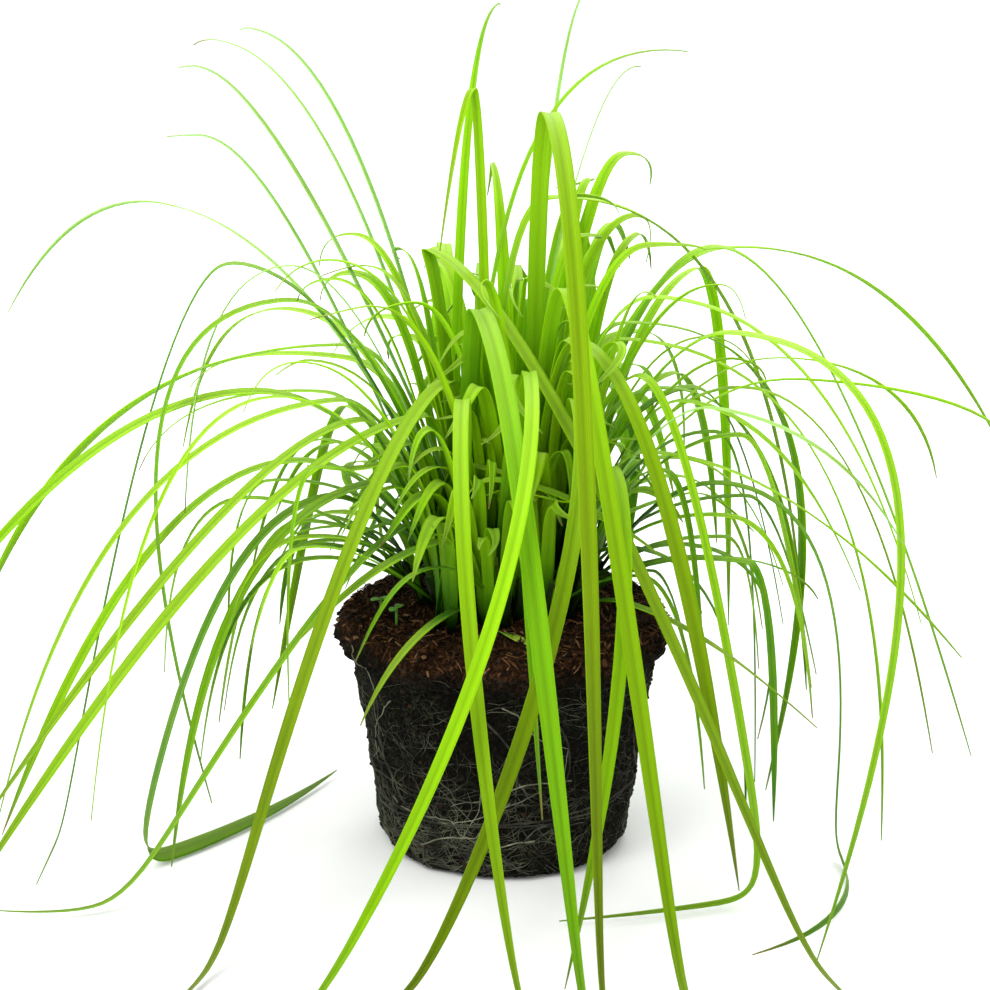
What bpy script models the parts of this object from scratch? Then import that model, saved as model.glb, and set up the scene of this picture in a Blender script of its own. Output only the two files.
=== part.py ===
"""A carex sedge lifted out of its pot: a tuft of leafy shoots rooted in a bare root ball."""

import math
import random
from collections import namedtuple

import bmesh
import bpy
from mathutils import Matrix, Vector, noise
from mathutils.bvhtree import BVHTree

# Lengths are in millimetres until a mesh is made, headings in degrees from +X towards +Y.
MM = 0.001

# Root ball, turned about Z on its flat base
BASE_RADIUS = 46.0
HEEL_RADIUS = 54.0
HEEL_HEIGHT = 9.0
WALL_TOP_RADIUS = 64.5
WALL_TOP_HEIGHT = 88.0
COLLAR_RADIUS = 70.0
SOIL = 104.0
MOUND = 3.0
BALL_SIDES = 36
HEEL_STEPS = 3
WALL_STEPS = 4
COLLAR_PROFILE = ((68.0, 89.5), (70.5, 94.0), (70.0, 99.0), (66.5, 103.3))
SOIL_RINGS = (54.0, 40.0, 25.0, 11.0)
WALL_BUMP = 1.3
COLLAR_BUMP = 2.6
BUMP_SIZE = 15.0
FINE_BUMP = 0.5
FINE_BUMP_SCALE = 2.3
SOIL_BUMP_SHARE = 0.6
HEEL_CURVE = 1.5
TINY = 1e-6
MERGE_DISTANCE = 1e-4

# Crown of shoots
SHOOTS = 40
CROWN_RADIUS = 33.0
SHEATH_RADIUS = 3.0
SHEATH_TOP_RADIUS = 2.2
SHEATH_DEPTH = 8.0
SHEATH_HEIGHT = 24.0
SHEATH_LEAN = 0.45
SHEATH_SIDES = 6
HOLE_GAP = 0.35
GOLDEN_ANGLE = 137.508

# Blades
BLADE_START = 7.0
BLADE_BASE_WIDTH = 3.0
BLADE_TIP_WIDTH = 0.9
BLADE_THICKNESS = 0.9
KEEL_SHARE = 0.14
FULL_FROM = 0.25
TAPER_FROM = 0.55
TAPER_POWER = 2.0
RISE_STEPS = 24
FALL_STEPS = 32
TRAIL_STEP = 5.0
SMOOTHINGS = 2
TRAIL_SMOOTHINGS = 8
SEGMENT_LENGTH = 56.0
FEWEST_SEGMENTS = 5
BEND_WEIGHT = 45.0
GROUND_CLEARANCE = 3.0
WALL_CLEARANCE = 3.5
SHEATHED_POINTS = 6
EDGE_SPARE = 1.5

# Growth
LEAVES_A_SHOOT = 5
FEWEST_LEAVES = 2
NEAREST_SHOOTS = 6
TRIES = 60
CLEARANCE = 0.5
FREE_LENGTH = 34.0
FRONT = (218.0, 322.0)
RIM_SWAY = 0.4
UPRIGHT_SHARE = 0.62
ARCHING_SHARE = 0.88
CROWDED_WIDTH = 0.65
HEADING_SPREAD = 60.0
RIM_STEADINESS = 35.0
LEAN_SHARE = (0.3, 0.6)
REACH_SHARE = (0.45, 1.0)
DRIFT_SPREAD = 12.0
GROWTH_SEED = 11

# Roots over the wall
ROOT_RADIUS = 0.8
ROOT_GAP = 0.85
ROOT_STEP = 8.0
ROOT_START = 79.0
ROOT_END = 9.0
FALLING_ROOTS = 10
CIRCLING_ROOTS = ((14.0, 34.0, 20.0, 1.6), (26.0, 12.0, 200.0, 1.3))
ROOT_SEED = 5
ROOT_TAPER = 0.35
ROOT_FLATNESS = 0.5
OUTSIDE_BALL = 1.2
CIRCLING_SWAY = 2.5
CIRCLING_WAVES = 9.0
FALLING_PLACE = 0.3
FALLING_SWING = 34.0
FALLING_WAVE = (3.0, 8.0)
FALLING_WAVES = 7.0
FALLING_SLACK = 1.3

# Two seedlings that came up on the soil: place, height, heading
SEEDLINGS = (((-52.0, -13.0), 8.0, 200.0), ((-45.0, -27.0), 9.0, 60.0))
SEEDLING_STEM = 0.6
SEEDLING_DEPTH = 3.0
SEEDLING_LEAF = 2.3
SEEDLING_LEAF_THICKNESS = 0.8
SEEDLING_LEAF_TAPER = 0.8
SEEDLING_STEM_SIDES = 5
SEEDLING_LEAF_SIDES = 8

Leaf = namedtuple(
    "Leaf", "heading lean apex_out apex_up reach tip_out tip_up drift width trail"
)
NO_TRAIL = (0.0, 0.0, 0.0)
SPREAD = Leaf(9, 6, 8, 9, 10, 8, 0, 8, 0, 0)

# How a leaf between the leading ones grows, as ranges: how far out and up its highest point is,
# how much further out its tip is, how high that is or how far it has dropped, and its width.
Habit = namedtuple("Habit", "apex_out apex_up beyond tip_up drop width")
FRONT_HABIT = Habit((6, 34), (60, 150), (6, 20), None, (2, 24), (5.4, 8.0))
UPRIGHT_HABIT = Habit((14, 78), (100, 185), (4, 26), None, (1, 20), (4.8, 7.6))
ARCHING_HABIT = Habit((45, 95), (90, 160), (20, 90), (-70, 95), None, (4.2, 6.6))
LOW_HABIT = Habit((32, 80), (26, 80), (15, 65), (-90, 30), None, (3.8, 5.6))


# The leaves that give the tuft its outline: place of the shoot, then the leaf.
# A trail is the stretch on the ground: its heading, its turn in degrees and its length.
LEADING_LEAVES = [
    # Folded over above the tuft, then down across its front
    ((6, -6), Leaf(280, 10, 38, 220, 105, 158, -101, -2, 7.2, (275, 15, 60))),
    ((-12, -8), Leaf(318, -12, -24, 156, 36, 180, -101, 0, 7.2, (300, -25, 50))),
    ((-12, 2), Leaf(235, 8, 14, 222, 22, 37, 160, 0, 4.5, NO_TRAIL)),
    ((-28, -18), Leaf(335, -8, 9, 70, 38, 48, 58, 0, 5.5, NO_TRAIL)),
    # Hanging in front of the root ball
    ((14, -8), Leaf(290, 15, 40, 150, 60, 165, -101, 0, 6.8, (282, 10, 60))),
    ((-8, -12), Leaf(282, 8, 26, 140, 112, 160, -101, 12, 7.8, (278, -15, 60))),
    ((28, -10), Leaf(276, 20, 50, 105, 100, 150, -101, -72, 6.5, (228, 20, 50))),
    ((2, -16), Leaf(273, 15, 45, 120, 125, 160, -101, -90, 5.6, (226, 25, 40))),
    ((-16, -14), Leaf(268, 20, 48, 110, 98, 155, -101, 26, 6.0, (290, -20, 40))),
    ((-6, -8), Leaf(229, 8, 18, 105, 60, 164, -101, 8, 7.4, (244, 15, 50))),
    ((-2, -20), Leaf(277, 25, 50, 95, 80, 85, -52, 7, 3.5, NO_TRAIL)),
    ((28, -14), Leaf(281, 30, 60, 80, 92, 145, -101, -38, 5.6, NO_TRAIL)),
    ((-4, -24), Leaf(212, 6, 15, 42, 50, 85, 12, 0, 6.5, NO_TRAIL)),
    ((-10, -28), Leaf(236, 10, 20, 14, 60, 85, -15, 0, 4.5, NO_TRAIL)),
    # Left
    ((-12, -8), Leaf(205, 8, 18, 90, 93, 225, -95, 0, 7.7, NO_TRAIL)),
    ((-14, -4), Leaf(200, 25, 40, 87, 88, 205, -70, 0, 7.2, NO_TRAIL)),
    ((-14, 6), Leaf(182, 49, 98, 150, 128, 178, -101, 0, 5.7, (268, 0, 60))),
    ((-16, 4), Leaf(190, 37, 75, 136, 165, 113, -85, 0, 5.7, NO_TRAIL)),
    ((-16, 4), Leaf(172, 25, 49, 112, 170, 225, -30, 0, 6.2, NO_TRAIL)),
    ((-18, 0), Leaf(185, 42, 90, 96, 161, 240, -20, 0, 6.2, NO_TRAIL)),
    ((-18, -4), Leaf(195, 30, 60, 90, 162, 205, -80, 0, 6.7, NO_TRAIL)),
    ((-20, -2), Leaf(185, 30, 65, 67, 130, 196, -99, 0, 6.2, NO_TRAIL)),
    ((-20, -6), Leaf(200, 12, 25, 62, 101, 122, -98, 0, 8.1, NO_TRAIL)),
    ((-24, -8), Leaf(198, 20, 42, 55, 94, 130, -101, 0, 8.5, (40, 25, 130))),
    ((-22, -14), Leaf(205, 8, 15, 46, 44, 145, -100, 0, 5.7, (205, -40, 55))),
    ((-10, 14), Leaf(150, 80, 165, 156, 215, 255, 95, 0, 3.0, NO_TRAIL)),
    # Top
    ((-15, 6), Leaf(60, 0, 36, 250, 36, 37, 249, 0, 4.5, NO_TRAIL)),
    ((-18, 6), Leaf(22, -6, 78, 230, 90, 94, 229, 0, 3.6, NO_TRAIL)),
    ((-16, 2), Leaf(20, -2, 24, 175, 130, 150, -45, 0, 6.5, NO_TRAIL)),
    ((-14, 8), Leaf(150, 62, 130, 230, 138, 142, 227, 0, 2.6, NO_TRAIL)),
    ((-8, 8), Leaf(150, 52, 112, 236, 115, 117, 235, 0, 2.4, NO_TRAIL)),
    ((-14, 4), Leaf(165, 90, 127, 225, 131, 135, 224, 0, 3.0, NO_TRAIL)),
    ((-20, 8), Leaf(168, 74, 108, 196, 116, 124, 195, 0, 2.4, NO_TRAIL)),
    ((6, 6), Leaf(40, 25, 62, 160, 80, 72, 138, 0, 4.5, NO_TRAIL)),
    ((12, 8), Leaf(50, 20, 48, 256, 49, 50, 256, 0, 2.4, NO_TRAIL)),
    ((10, 8), Leaf(25, 36, 64, 224, 65, 66, 224, 0, 2.4, NO_TRAIL)),
    # Right
    ((12, 2), Leaf(10, 15, 35, 122, 150, 104, -95, 0, 5.7, NO_TRAIL)),
    ((12, 8), Leaf(25, 48, 95, 146, 184, 250, 35, 0, 5.2, NO_TRAIL)),
    ((14, 4), Leaf(10, 37, 73, 151, 121, 200, -90, 0, 5.7, NO_TRAIL)),
    ((14, 2), Leaf(355, 20, 50, 138, 125, 165, 0, 0, 5.7, NO_TRAIL)),
    ((14, -4), Leaf(340, 38, 78, 128, 188, 140, -99, -85, 6.7, NO_TRAIL)),
    ((16, -6), Leaf(345, 22, 45, 77, 107, 175, 0, 0, 6.2, NO_TRAIL)),
    ((14, -2), Leaf(350, 18, 35, 118, 150, 150, -99, 0, 5.2, NO_TRAIL)),
    ((16, -4), Leaf(330, 22, 45, 113, 67, 108, -101, 0, 6.2, (200, -10, 90))),
    ((12, -8), Leaf(320, 14, 28, 125, 72, 114, -90, 0, 7.2, NO_TRAIL)),
    ((22, -6), Leaf(350, 27, 50, 35, 103, 84, -50, 0, 5.2, NO_TRAIL)),
    ((20, -10), Leaf(320, 15, 30, 16, 70, 125, -15, 0, 4.7, NO_TRAIL)),
    ((26, -4), Leaf(350, 30, 60, 60, 125, 112, -101, 0, 5.7, (285, -80, 120))),
]


def ball_radius(z):
    """Radius of the root ball at a height, without its bumps."""
    if z < HEEL_HEIGHT:
        share = math.sqrt(max(0.0, 1 - (1 - z / HEEL_HEIGHT) ** 2))
        return BASE_RADIUS + (HEEL_RADIUS - BASE_RADIUS) * share
    if z <= WALL_TOP_HEIGHT:
        share = (z - HEEL_HEIGHT) / (WALL_TOP_HEIGHT - HEEL_HEIGHT)
        return HEEL_RADIUS + (WALL_TOP_RADIUS - HEEL_RADIUS) * share
    return COLLAR_RADIUS


def bump(place, height):
    """How far a crumbly surface stands out from the turned one at a point."""
    place = place / BUMP_SIZE
    return height * (noise.noise(place) + FINE_BUMP * noise.noise(place * FINE_BUMP_SCALE))


def direction(heading):
    angle = math.radians(heading)
    return Vector((math.cos(angle), math.sin(angle), 0.0))


def quadratic(a, b, c, t):
    return (1 - t) ** 2 * a + 2 * t * (1 - t) * b + t * t * c


def sheath_axis(root):
    """Direction in which a shoot leaves the soil: upright in the middle, leaning out at the rim."""
    lean = SHEATH_LEAN / CROWN_RADIUS
    return Vector((root.x * lean, root.y * lean, 1.0)).normalized()


def centreline(leaf, root):
    """Points along a leaf: up to its highest point, down from there, then along the ground."""
    ahead = direction(leaf.heading)
    left = direction(leaf.heading + 90)
    start = root + sheath_axis(root) * BLADE_START
    shoulder = root + ahead * leaf.lean + Vector((0, 0, leaf.apex_up))
    apex = root + ahead * leaf.apex_out + Vector((0, 0, leaf.apex_up))
    points = []
    for i in range(RISE_STEPS + 1):
        points.append(quadratic(start, shoulder, apex, i / RISE_STEPS))
    for i in range(1, FALL_STEPS + 1):
        t = i / FALL_STEPS
        out = quadratic(leaf.apex_out, leaf.reach, leaf.tip_out, t)
        up = quadratic(leaf.apex_up, leaf.apex_up, leaf.tip_up, t)
        side = leaf.drift * t**3
        points.append(root + ahead * out + left * side + Vector((0, 0, up)))
    heading, turn, length = leaf.trail
    steps = int(length / TRAIL_STEP)
    for i in range(steps):
        points.append(points[-1] + direction(heading + turn * i / steps) * TRAIL_STEP)
    for _ in range(TRAIL_SMOOTHINGS if steps else SMOOTHINGS):
        middle = [(a + 2 * b + c) / 4 for a, b, c in zip(points, points[1:], points[2:])]
        points = [points[0]] + middle + [points[-1]]
    for p in points:
        p.z = max(p.z, GROUND_CLEARANCE)
    return points


def stations(points):
    """Points spaced along a line so that its bends get more of them."""
    measure = [0.0]
    for i in range(1, len(points)):
        step = points[i] - points[i - 1]
        bend = 0.0
        if i > 1:
            bend = step.angle(points[i - 1] - points[i - 2], 0.0)
        measure.append(measure[-1] + step.length + BEND_WEIGHT * bend)
    count = max(FEWEST_SEGMENTS, round(measure[-1] / SEGMENT_LENGTH))
    found = []
    i = 1
    for k in range(count + 1):
        target = measure[-1] * k / count
        while i < len(points) - 1 and measure[i] < target:
            i += 1
        share = (target - measure[i - 1]) / max(measure[i] - measure[i - 1], TINY)
        found.append(points[i - 1].lerp(points[i], min(max(share, 0.0), 1.0)))
    return found


def width_at(share, width):
    """A blade is narrow in its sheath, full from a quarter of its length and drawn to a fine tip."""
    if share < FULL_FROM:
        rise = math.sin(share / FULL_FROM * math.pi / 2)
        return BLADE_BASE_WIDTH + (width - BLADE_BASE_WIDTH) * rise
    fall = max(0.0, (share - TAPER_FROM) / (1 - TAPER_FROM))
    return BLADE_TIP_WIDTH + (width - BLADE_TIP_WIDTH) * (1 - fall**TAPER_POWER)


def sections(points, heading, width, spare=0.0):
    """Three-sided rings along a blade: its two edges and its keel underneath."""
    lengths = [0.0]
    for a, b in zip(points, points[1:]):
        lengths.append(lengths[-1] + (b - a).length)
    across = direction(heading + 90)
    rings = []
    for i, p in enumerate(points):
        along = points[min(i + 1, len(points) - 1)] - points[max(i - 1, 0)]
        along.normalize()
        across = (across - along * across.dot(along)).normalized()
        up = along.cross(across)
        wide = width_at(lengths[i] / lengths[-1], width)
        deep = BLADE_THICKNESS + KEEL_SHARE * wide / 2
        half = across * (wide / 2 + spare * EDGE_SPARE)
        lift = up * spare
        rings.append((p + half + lift, p - half + lift, p - up * (deep + spare * EDGE_SPARE)))
    return rings


def loft(rings):
    """Points and triangles of the closed skin over three-sided rings, all split alike."""
    verts = [corner for ring in rings for corner in ring]
    faces = [(2, 1, 0)]
    for i in range(len(rings) - 1):
        for j in range(3):
            a, b = 3 * i + j, 3 * i + (j + 1) % 3
            faces.append((a, b, b + 3))
            faces.append((a, b + 3, a + 3))
    last = 3 * (len(rings) - 1)
    faces.append((last, last + 1, last + 2))
    return verts, faces


def clears_ball(points):
    """Whether a blade keeps off the root ball once it has left its shoot."""
    for p in points[SHEATHED_POINTS:]:
        outside = math.hypot(p.x, p.y) > ball_radius(p.z) + WALL_CLEARANCE
        if not outside and p.z < SOIL + MOUND + WALL_CLEARANCE:
            return False
    return True


class Tuft:
    """The leaves placed so far, and whether another would touch them."""

    def __init__(self, shoots):
        self.shoots = shoots
        self.leaves = [[] for _ in shoots]
        self.verts = []
        self.faces = []
        self.owners = []
        for i, root in enumerate(shoots):
            self.hold(i, *skin_of(sheath(root, 0.0)))
        for (x, y), height, _ in SEEDLINGS:
            self.hold(-1, *skin_of(stem(x, y, height, SEEDLING_LEAF * 2)))
        self.tree = BVHTree.FromPolygons(self.verts, self.faces)

    def hold(self, owner, verts, faces):
        """Keeps a skin's place from later leaves."""
        first = len(self.verts)
        self.verts += verts
        self.faces += [tuple(first + i for i in face) for face in faces]
        self.owners += [owner] * len(faces)

    def free(self, shoot, leaf):
        root = self.shoots[shoot]
        line = centreline(leaf, root)
        if not clears_ball(line):
            return False
        points = stations(line)
        verts, faces = loft(sections(points, leaf.heading, leaf.width, CLEARANCE))
        candidate = BVHTree.FromPolygons(verts, faces)
        for own, other in candidate.overlap(self.tree):
            near = (verts[faces[own][0]] - root).length < FREE_LENGTH
            if self.owners[other] != shoot or not near:
                return False
        return True

    def add(self, shoot, leaf):
        self.leaves[shoot].append(leaf)
        points = stations(centreline(leaf, self.shoots[shoot]))
        self.hold(shoot, *loft(sections(points, leaf.heading, leaf.width)))
        self.tree = BVHTree.FromPolygons(self.verts, self.faces)


def crown():
    """Roots of the shoots, in a sunflower's spacing."""
    places = []
    for i in range(SHOOTS):
        out = CROWN_RADIUS * math.sqrt((i + 0.5) / SHOOTS)
        places.append(direction(i * GOLDEN_ANGLE) * out + Vector((0, 0, SOIL)))
    return places


def nudged(leaf, draw, share):
    """The same leaf grown a little differently."""
    changed = {}
    for name, most in SPREAD._asdict().items():
        if most:
            changed[name] = getattr(leaf, name) + draw.uniform(-most, most) * share
    return leaf._replace(**changed)


def habit_of(heading, rim, draw):
    """Short leaves in front, elsewhere steep ones from the middle and lower ones from the rim."""
    kind = draw.random() + RIM_SWAY * (rim - 0.5)
    if FRONT[0] < heading < FRONT[1]:
        return FRONT_HABIT
    if kind < UPRIGHT_SHARE:
        return UPRIGHT_HABIT
    if kind < ARCHING_SHARE:
        return ARCHING_HABIT
    return LOW_HABIT


def filling_leaf(place, draw, vigour):
    """A leaf between the leading ones: steep from the middle of the crown, lower from its rim."""
    outward = math.degrees(math.atan2(place.y, place.x))
    rim = math.hypot(place.x, place.y) / CROWN_RADIUS
    heading = (outward + draw.gauss(0, HEADING_SPREAD - RIM_STEADINESS * rim)) % 360
    habit = habit_of(heading, rim, draw)
    apex_out, apex_up = draw.uniform(*habit.apex_out), draw.uniform(*habit.apex_up)
    tip_out = apex_out + draw.uniform(*habit.beyond)
    if habit.drop:
        tip_up = apex_up - draw.uniform(*habit.drop)
    else:
        tip_up = draw.uniform(*habit.tip_up)
    lean = apex_out * draw.uniform(*LEAN_SHARE)
    reach = apex_out + (tip_out - apex_out) * draw.uniform(*REACH_SHARE)
    width = draw.uniform(*habit.width) * vigour
    drift = draw.gauss(0, DRIFT_SPREAD)
    return Leaf(heading, lean, apex_out, apex_up, reach, tip_out, tip_up, drift, width, NO_TRAIL)


def grow():
    """The root and the leaves of each shoot: leading leaves first, then those that find room."""
    draw = random.Random(GROWTH_SEED)
    tuft = Tuft(crown())
    for (x, y), leaf in LEADING_LEAVES:
        wanted = Vector((x, y, SOIL))
        order = sorted(range(SHOOTS), key=lambda i: (tuft.shoots[i] - wanted).length)
        for attempt in range(TRIES):
            shoot = order[attempt % NEAREST_SHOOTS]
            if len(tuft.leaves[shoot]) >= LEAVES_A_SHOOT:
                continue
            grown = nudged(leaf, draw, attempt / TRIES)
            if tuft.free(shoot, grown):
                tuft.add(shoot, grown)
                break
    for _ in range(LEAVES_A_SHOOT):
        for shoot, place in enumerate(tuft.shoots):
            if len(tuft.leaves[shoot]) >= LEAVES_A_SHOOT:
                continue
            for attempt in range(TRIES):
                vigour = 1 - (1 - CROWDED_WIDTH) * attempt / TRIES
                leaf = filling_leaf(place, draw, vigour)
                if tuft.free(shoot, leaf):
                    tuft.add(shoot, leaf)
                    break
    return [pair for pair in zip(tuft.shoots, tuft.leaves) if len(pair[1]) >= FEWEST_LEAVES]


def sheath(root, spare):
    """The closed foot of a shoot as a mesh in work, from inside the soil up."""
    axis = sheath_axis(root)
    foot = root - axis * (SHEATH_DEPTH + spare)
    top = root + axis * (SHEATH_HEIGHT + spare)
    turn = Vector((0, 0, 1)).rotation_difference(axis).to_matrix().to_4x4()
    made = bmesh.new()
    bmesh.ops.create_cone(
        made,
        cap_ends=True,
        segments=SHEATH_SIDES,
        radius1=SHEATH_RADIUS + spare,
        radius2=SHEATH_TOP_RADIUS + spare,
        depth=(top - foot).length,
        matrix=Matrix.Translation((foot + top) / 2) @ turn,
    )
    return made


def skin_of(made):
    """Points and faces of a mesh in work."""
    made.verts.index_update()
    verts = [v.co.copy() for v in made.verts]
    faces = [tuple(v.index for v in face.verts) for face in made.faces]
    return verts, faces


def material(name, colour, roughness):
    """A plain finish."""
    made = bpy.data.materials.new(name)
    made.use_nodes = True
    shader = made.node_tree.nodes["Principled BSDF"]
    shader.inputs["Base Color"].default_value = (*colour, 1.0)
    shader.inputs["Roughness"].default_value = roughness
    return made


def mesh_object(name, made, collection):
    """An object in metres from a mesh in millimetres, its faces pointing out."""
    bmesh.ops.recalc_face_normals(made, faces=made.faces)
    bmesh.ops.scale(made, vec=(MM, MM, MM), verts=made.verts)
    mesh = bpy.data.meshes.new(name)
    made.to_mesh(mesh)
    made.free()
    obj = bpy.data.objects.new(name, mesh)
    collection.objects.link(obj)
    return obj


def from_skin(verts, faces):
    """A mesh in work from points and faces."""
    made = bmesh.new()
    corners = [made.verts.new(co) for co in verts]
    for face in faces:
        made.faces.new([corners[i] for i in face])
    return made


def combined(obj, operation, others, solver="EXACT"):
    """Joins a collection's shapes to an object, or cuts them from it, and removes them."""
    boolean = obj.modifiers.new(operation.title(), "BOOLEAN")
    boolean.operation = operation
    boolean.operand_type = "COLLECTION"
    boolean.collection = others
    boolean.solver = solver
    bpy.context.view_layer.update()
    graph = bpy.context.evaluated_depsgraph_get()
    result = bpy.data.meshes.new_from_object(obj.evaluated_get(graph))
    obj.modifiers.clear()
    obj.data = result
    for other in list(others.objects):
        bpy.data.objects.remove(other)
    bpy.data.collections.remove(others)


def working_collection(name):
    made = bpy.data.collections.new(name)
    bpy.context.scene.collection.children.link(made)
    return made


def soil_height(out):
    """Height of the soil at a distance from the middle."""
    return SOIL + MOUND * (1 - (out / COLLAR_PROFILE[-1][0]) ** 2)


def ball_profile():
    """The outline of the root ball from the middle of its base to the middle of its soil."""
    outline = [(0.0, 0.0), (BASE_RADIUS, 0.0)]
    for i in range(1, HEEL_STEPS + 1):
        z = HEEL_HEIGHT * (i / HEEL_STEPS) ** HEEL_CURVE
        outline.append((ball_radius(z), z))
    for i in range(1, WALL_STEPS + 1):
        z = HEEL_HEIGHT + (WALL_TOP_HEIGHT - HEEL_HEIGHT) * i / WALL_STEPS
        outline.append((ball_radius(z), z))
    outline += COLLAR_PROFILE
    outline += [(out, soil_height(out)) for out in SOIL_RINGS]
    outline.append((0.0, soil_height(0.0)))
    return outline


def root_ball_mesh():
    """The root ball turned from its outline, then roughened everywhere but on its flat base."""
    made = bmesh.new()
    corners = [made.verts.new((r, 0, z)) for r, z in ball_profile()]
    edges = [made.edges.new(pair) for pair in zip(corners, corners[1:])]
    bmesh.ops.spin(
        made,
        geom=corners + edges,
        cent=(0, 0, 0),
        axis=(0, 0, 1),
        angle=math.tau,
        steps=BALL_SIDES,
        use_merge=True,
    )
    bmesh.ops.remove_doubles(made, verts=made.verts, dist=MERGE_DISTANCE)
    bmesh.ops.triangulate(made, faces=made.faces)
    for v in made.verts:
        out = math.hypot(v.co.x, v.co.y)
        if v.co.z < TINY:
            continue
        if v.co.z > COLLAR_PROFILE[-1][1] - TINY:
            v.co.z += bump(v.co, COLLAR_BUMP * SOIL_BUMP_SHARE)
            continue
        height = COLLAR_BUMP if v.co.z > WALL_TOP_HEIGHT + TINY else WALL_BUMP
        away = Vector((v.co.x, v.co.y, 0)) / out
        v.co += away * bump(v.co, height)
    return made


def root_ball(shoots, collection):
    """The root ball with a plain hole for each shoot and seedling."""
    obj = mesh_object("root_ball", root_ball_mesh(), collection)
    cutters = working_collection("holes")
    for i, root in enumerate(shoots):
        mesh_object(f"hole_{i}", sheath(root, HOLE_GAP), cutters)
    for i, ((x, y), _, _) in enumerate(SEEDLINGS):
        made = stem(x, y, 2 * SEEDLING_DEPTH, HOLE_GAP)
        mesh_object(f"seedling_hole_{i}", made, cutters)
    combined(obj, "DIFFERENCE", cutters)
    return obj


def shoot(index, root, leaves, collection):
    """A leafy shoot: its sheathed foot with its blades fused to it."""
    obj = mesh_object(f"shoot_{index + 1:02d}", sheath(root, 0.0), collection)
    blades = working_collection("blades")
    for leaf in leaves:
        points = stations(centreline(leaf, root))
        skin = from_skin(*loft(sections(points, leaf.heading, leaf.width)))
        mesh_object("blade", skin, blades)
    combined(obj, "UNION", blades, "MANIFOLD")
    return obj


def root_route(surface, angle_at, height_at, steps):
    """Points over the wall of the root ball, read from its own surface."""
    points = []
    for i in range(steps + 1):
        angle, z = angle_at(i / steps), height_at(i / steps)
        outward = direction(angle)
        start = outward * COLLAR_RADIUS * OUTSIDE_BALL + Vector((0, 0, z))
        hit = surface.ray_cast(start, -outward)[0]
        points.append(hit + outward * (ROOT_GAP + ROOT_RADIUS * ROOT_FLATNESS))
    return points


def root_tube(points):
    """A three-sided root, its flat side to the wall, thinner towards its end."""
    rings = []
    for i, p in enumerate(points):
        along = points[min(i + 1, len(points) - 1)] - points[max(i - 1, 0)]
        outward = Vector((p.x, p.y, 0)).normalized()
        side = along.cross(outward).normalized()
        radius = ROOT_RADIUS * (1 - ROOT_TAPER * i / len(points))
        inner = p - outward * radius * ROOT_FLATNESS
        rings.append((inner + side * radius, inner - side * radius, p + outward * radius))
    return from_skin(*loft(rings))


def surface_roots(collection):
    """The net of roots that lies over the wall: circling ones crossed by falling ones."""
    draw = random.Random(ROOT_SEED)
    ball = root_ball_mesh()
    surface = BVHTree.FromBMesh(ball)
    ball.free()
    tubes = []
    for low, rise, first, turns in CIRCLING_ROOTS:
        wobble = draw.uniform(0, math.tau)
        steps = int(turns * math.tau * HEEL_RADIUS / ROOT_STEP)
        route = root_route(
            surface,
            lambda t: first + 360 * turns * t,
            lambda t: low + rise * t + CIRCLING_SWAY * math.sin(wobble + CIRCLING_WAVES * turns * t),
            steps,
        )
        tubes.append(root_tube(route))
    for i in range(FALLING_ROOTS):
        first = 360 * (i + draw.uniform(-FALLING_PLACE, FALLING_PLACE)) / FALLING_ROOTS
        swing = draw.uniform(-FALLING_SWING, FALLING_SWING)
        wave = draw.uniform(*FALLING_WAVE)
        phase = draw.uniform(0, math.tau)
        steps = int((ROOT_START - ROOT_END) / ROOT_STEP * FALLING_SLACK)
        route = root_route(
            surface,
            lambda t: first + swing * t + wave * math.sin(phase + FALLING_WAVES * t),
            lambda t: ROOT_START + (ROOT_END - ROOT_START) * t,
            steps,
        )
        tubes.append(root_tube(route))
    obj = mesh_object("surface_roots", tubes[0], collection)
    others = working_collection("roots")
    for tube in tubes[1:]:
        mesh_object("root", tube, others)
    combined(obj, "UNION", others, "MANIFOLD")
    return obj


def stem(x, y, height, spare):
    """The closed stem of a seedling as a mesh in work."""
    soil = soil_height(math.hypot(x, y))
    foot, top = soil - SEEDLING_DEPTH - spare, soil + height
    made = bmesh.new()
    bmesh.ops.create_cone(
        made,
        cap_ends=True,
        segments=SEEDLING_STEM_SIDES,
        radius1=SEEDLING_STEM + spare,
        radius2=SEEDLING_STEM + spare,
        depth=top - foot,
        matrix=Matrix.Translation((x, y, (foot + top) / 2)),
    )
    return made


def seedling(index, place, height, heading, collection):
    """A seedling with a pair of round leaves."""
    x, y = place
    obj = mesh_object(f"seedling_{index + 1}", stem(x, y, height, 0.0), collection)
    soil = soil_height(math.hypot(x, y))
    leaves = working_collection("seedling_leaves")
    for turn in (0, 180):
        top = Vector((x, y, soil + height - SEEDLING_LEAF_THICKNESS / 2))
        middle = top + direction(heading + turn) * SEEDLING_LEAF
        made = bmesh.new()
        bmesh.ops.create_cone(
            made,
            cap_ends=True,
            segments=SEEDLING_LEAF_SIDES,
            radius1=SEEDLING_LEAF * SEEDLING_LEAF_TAPER,
            radius2=SEEDLING_LEAF,
            depth=SEEDLING_LEAF_THICKNESS,
            matrix=Matrix.Translation(middle),
        )
        mesh_object("seedling_leaf", made, leaves)
    combined(obj, "UNION", leaves)
    return obj


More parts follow.
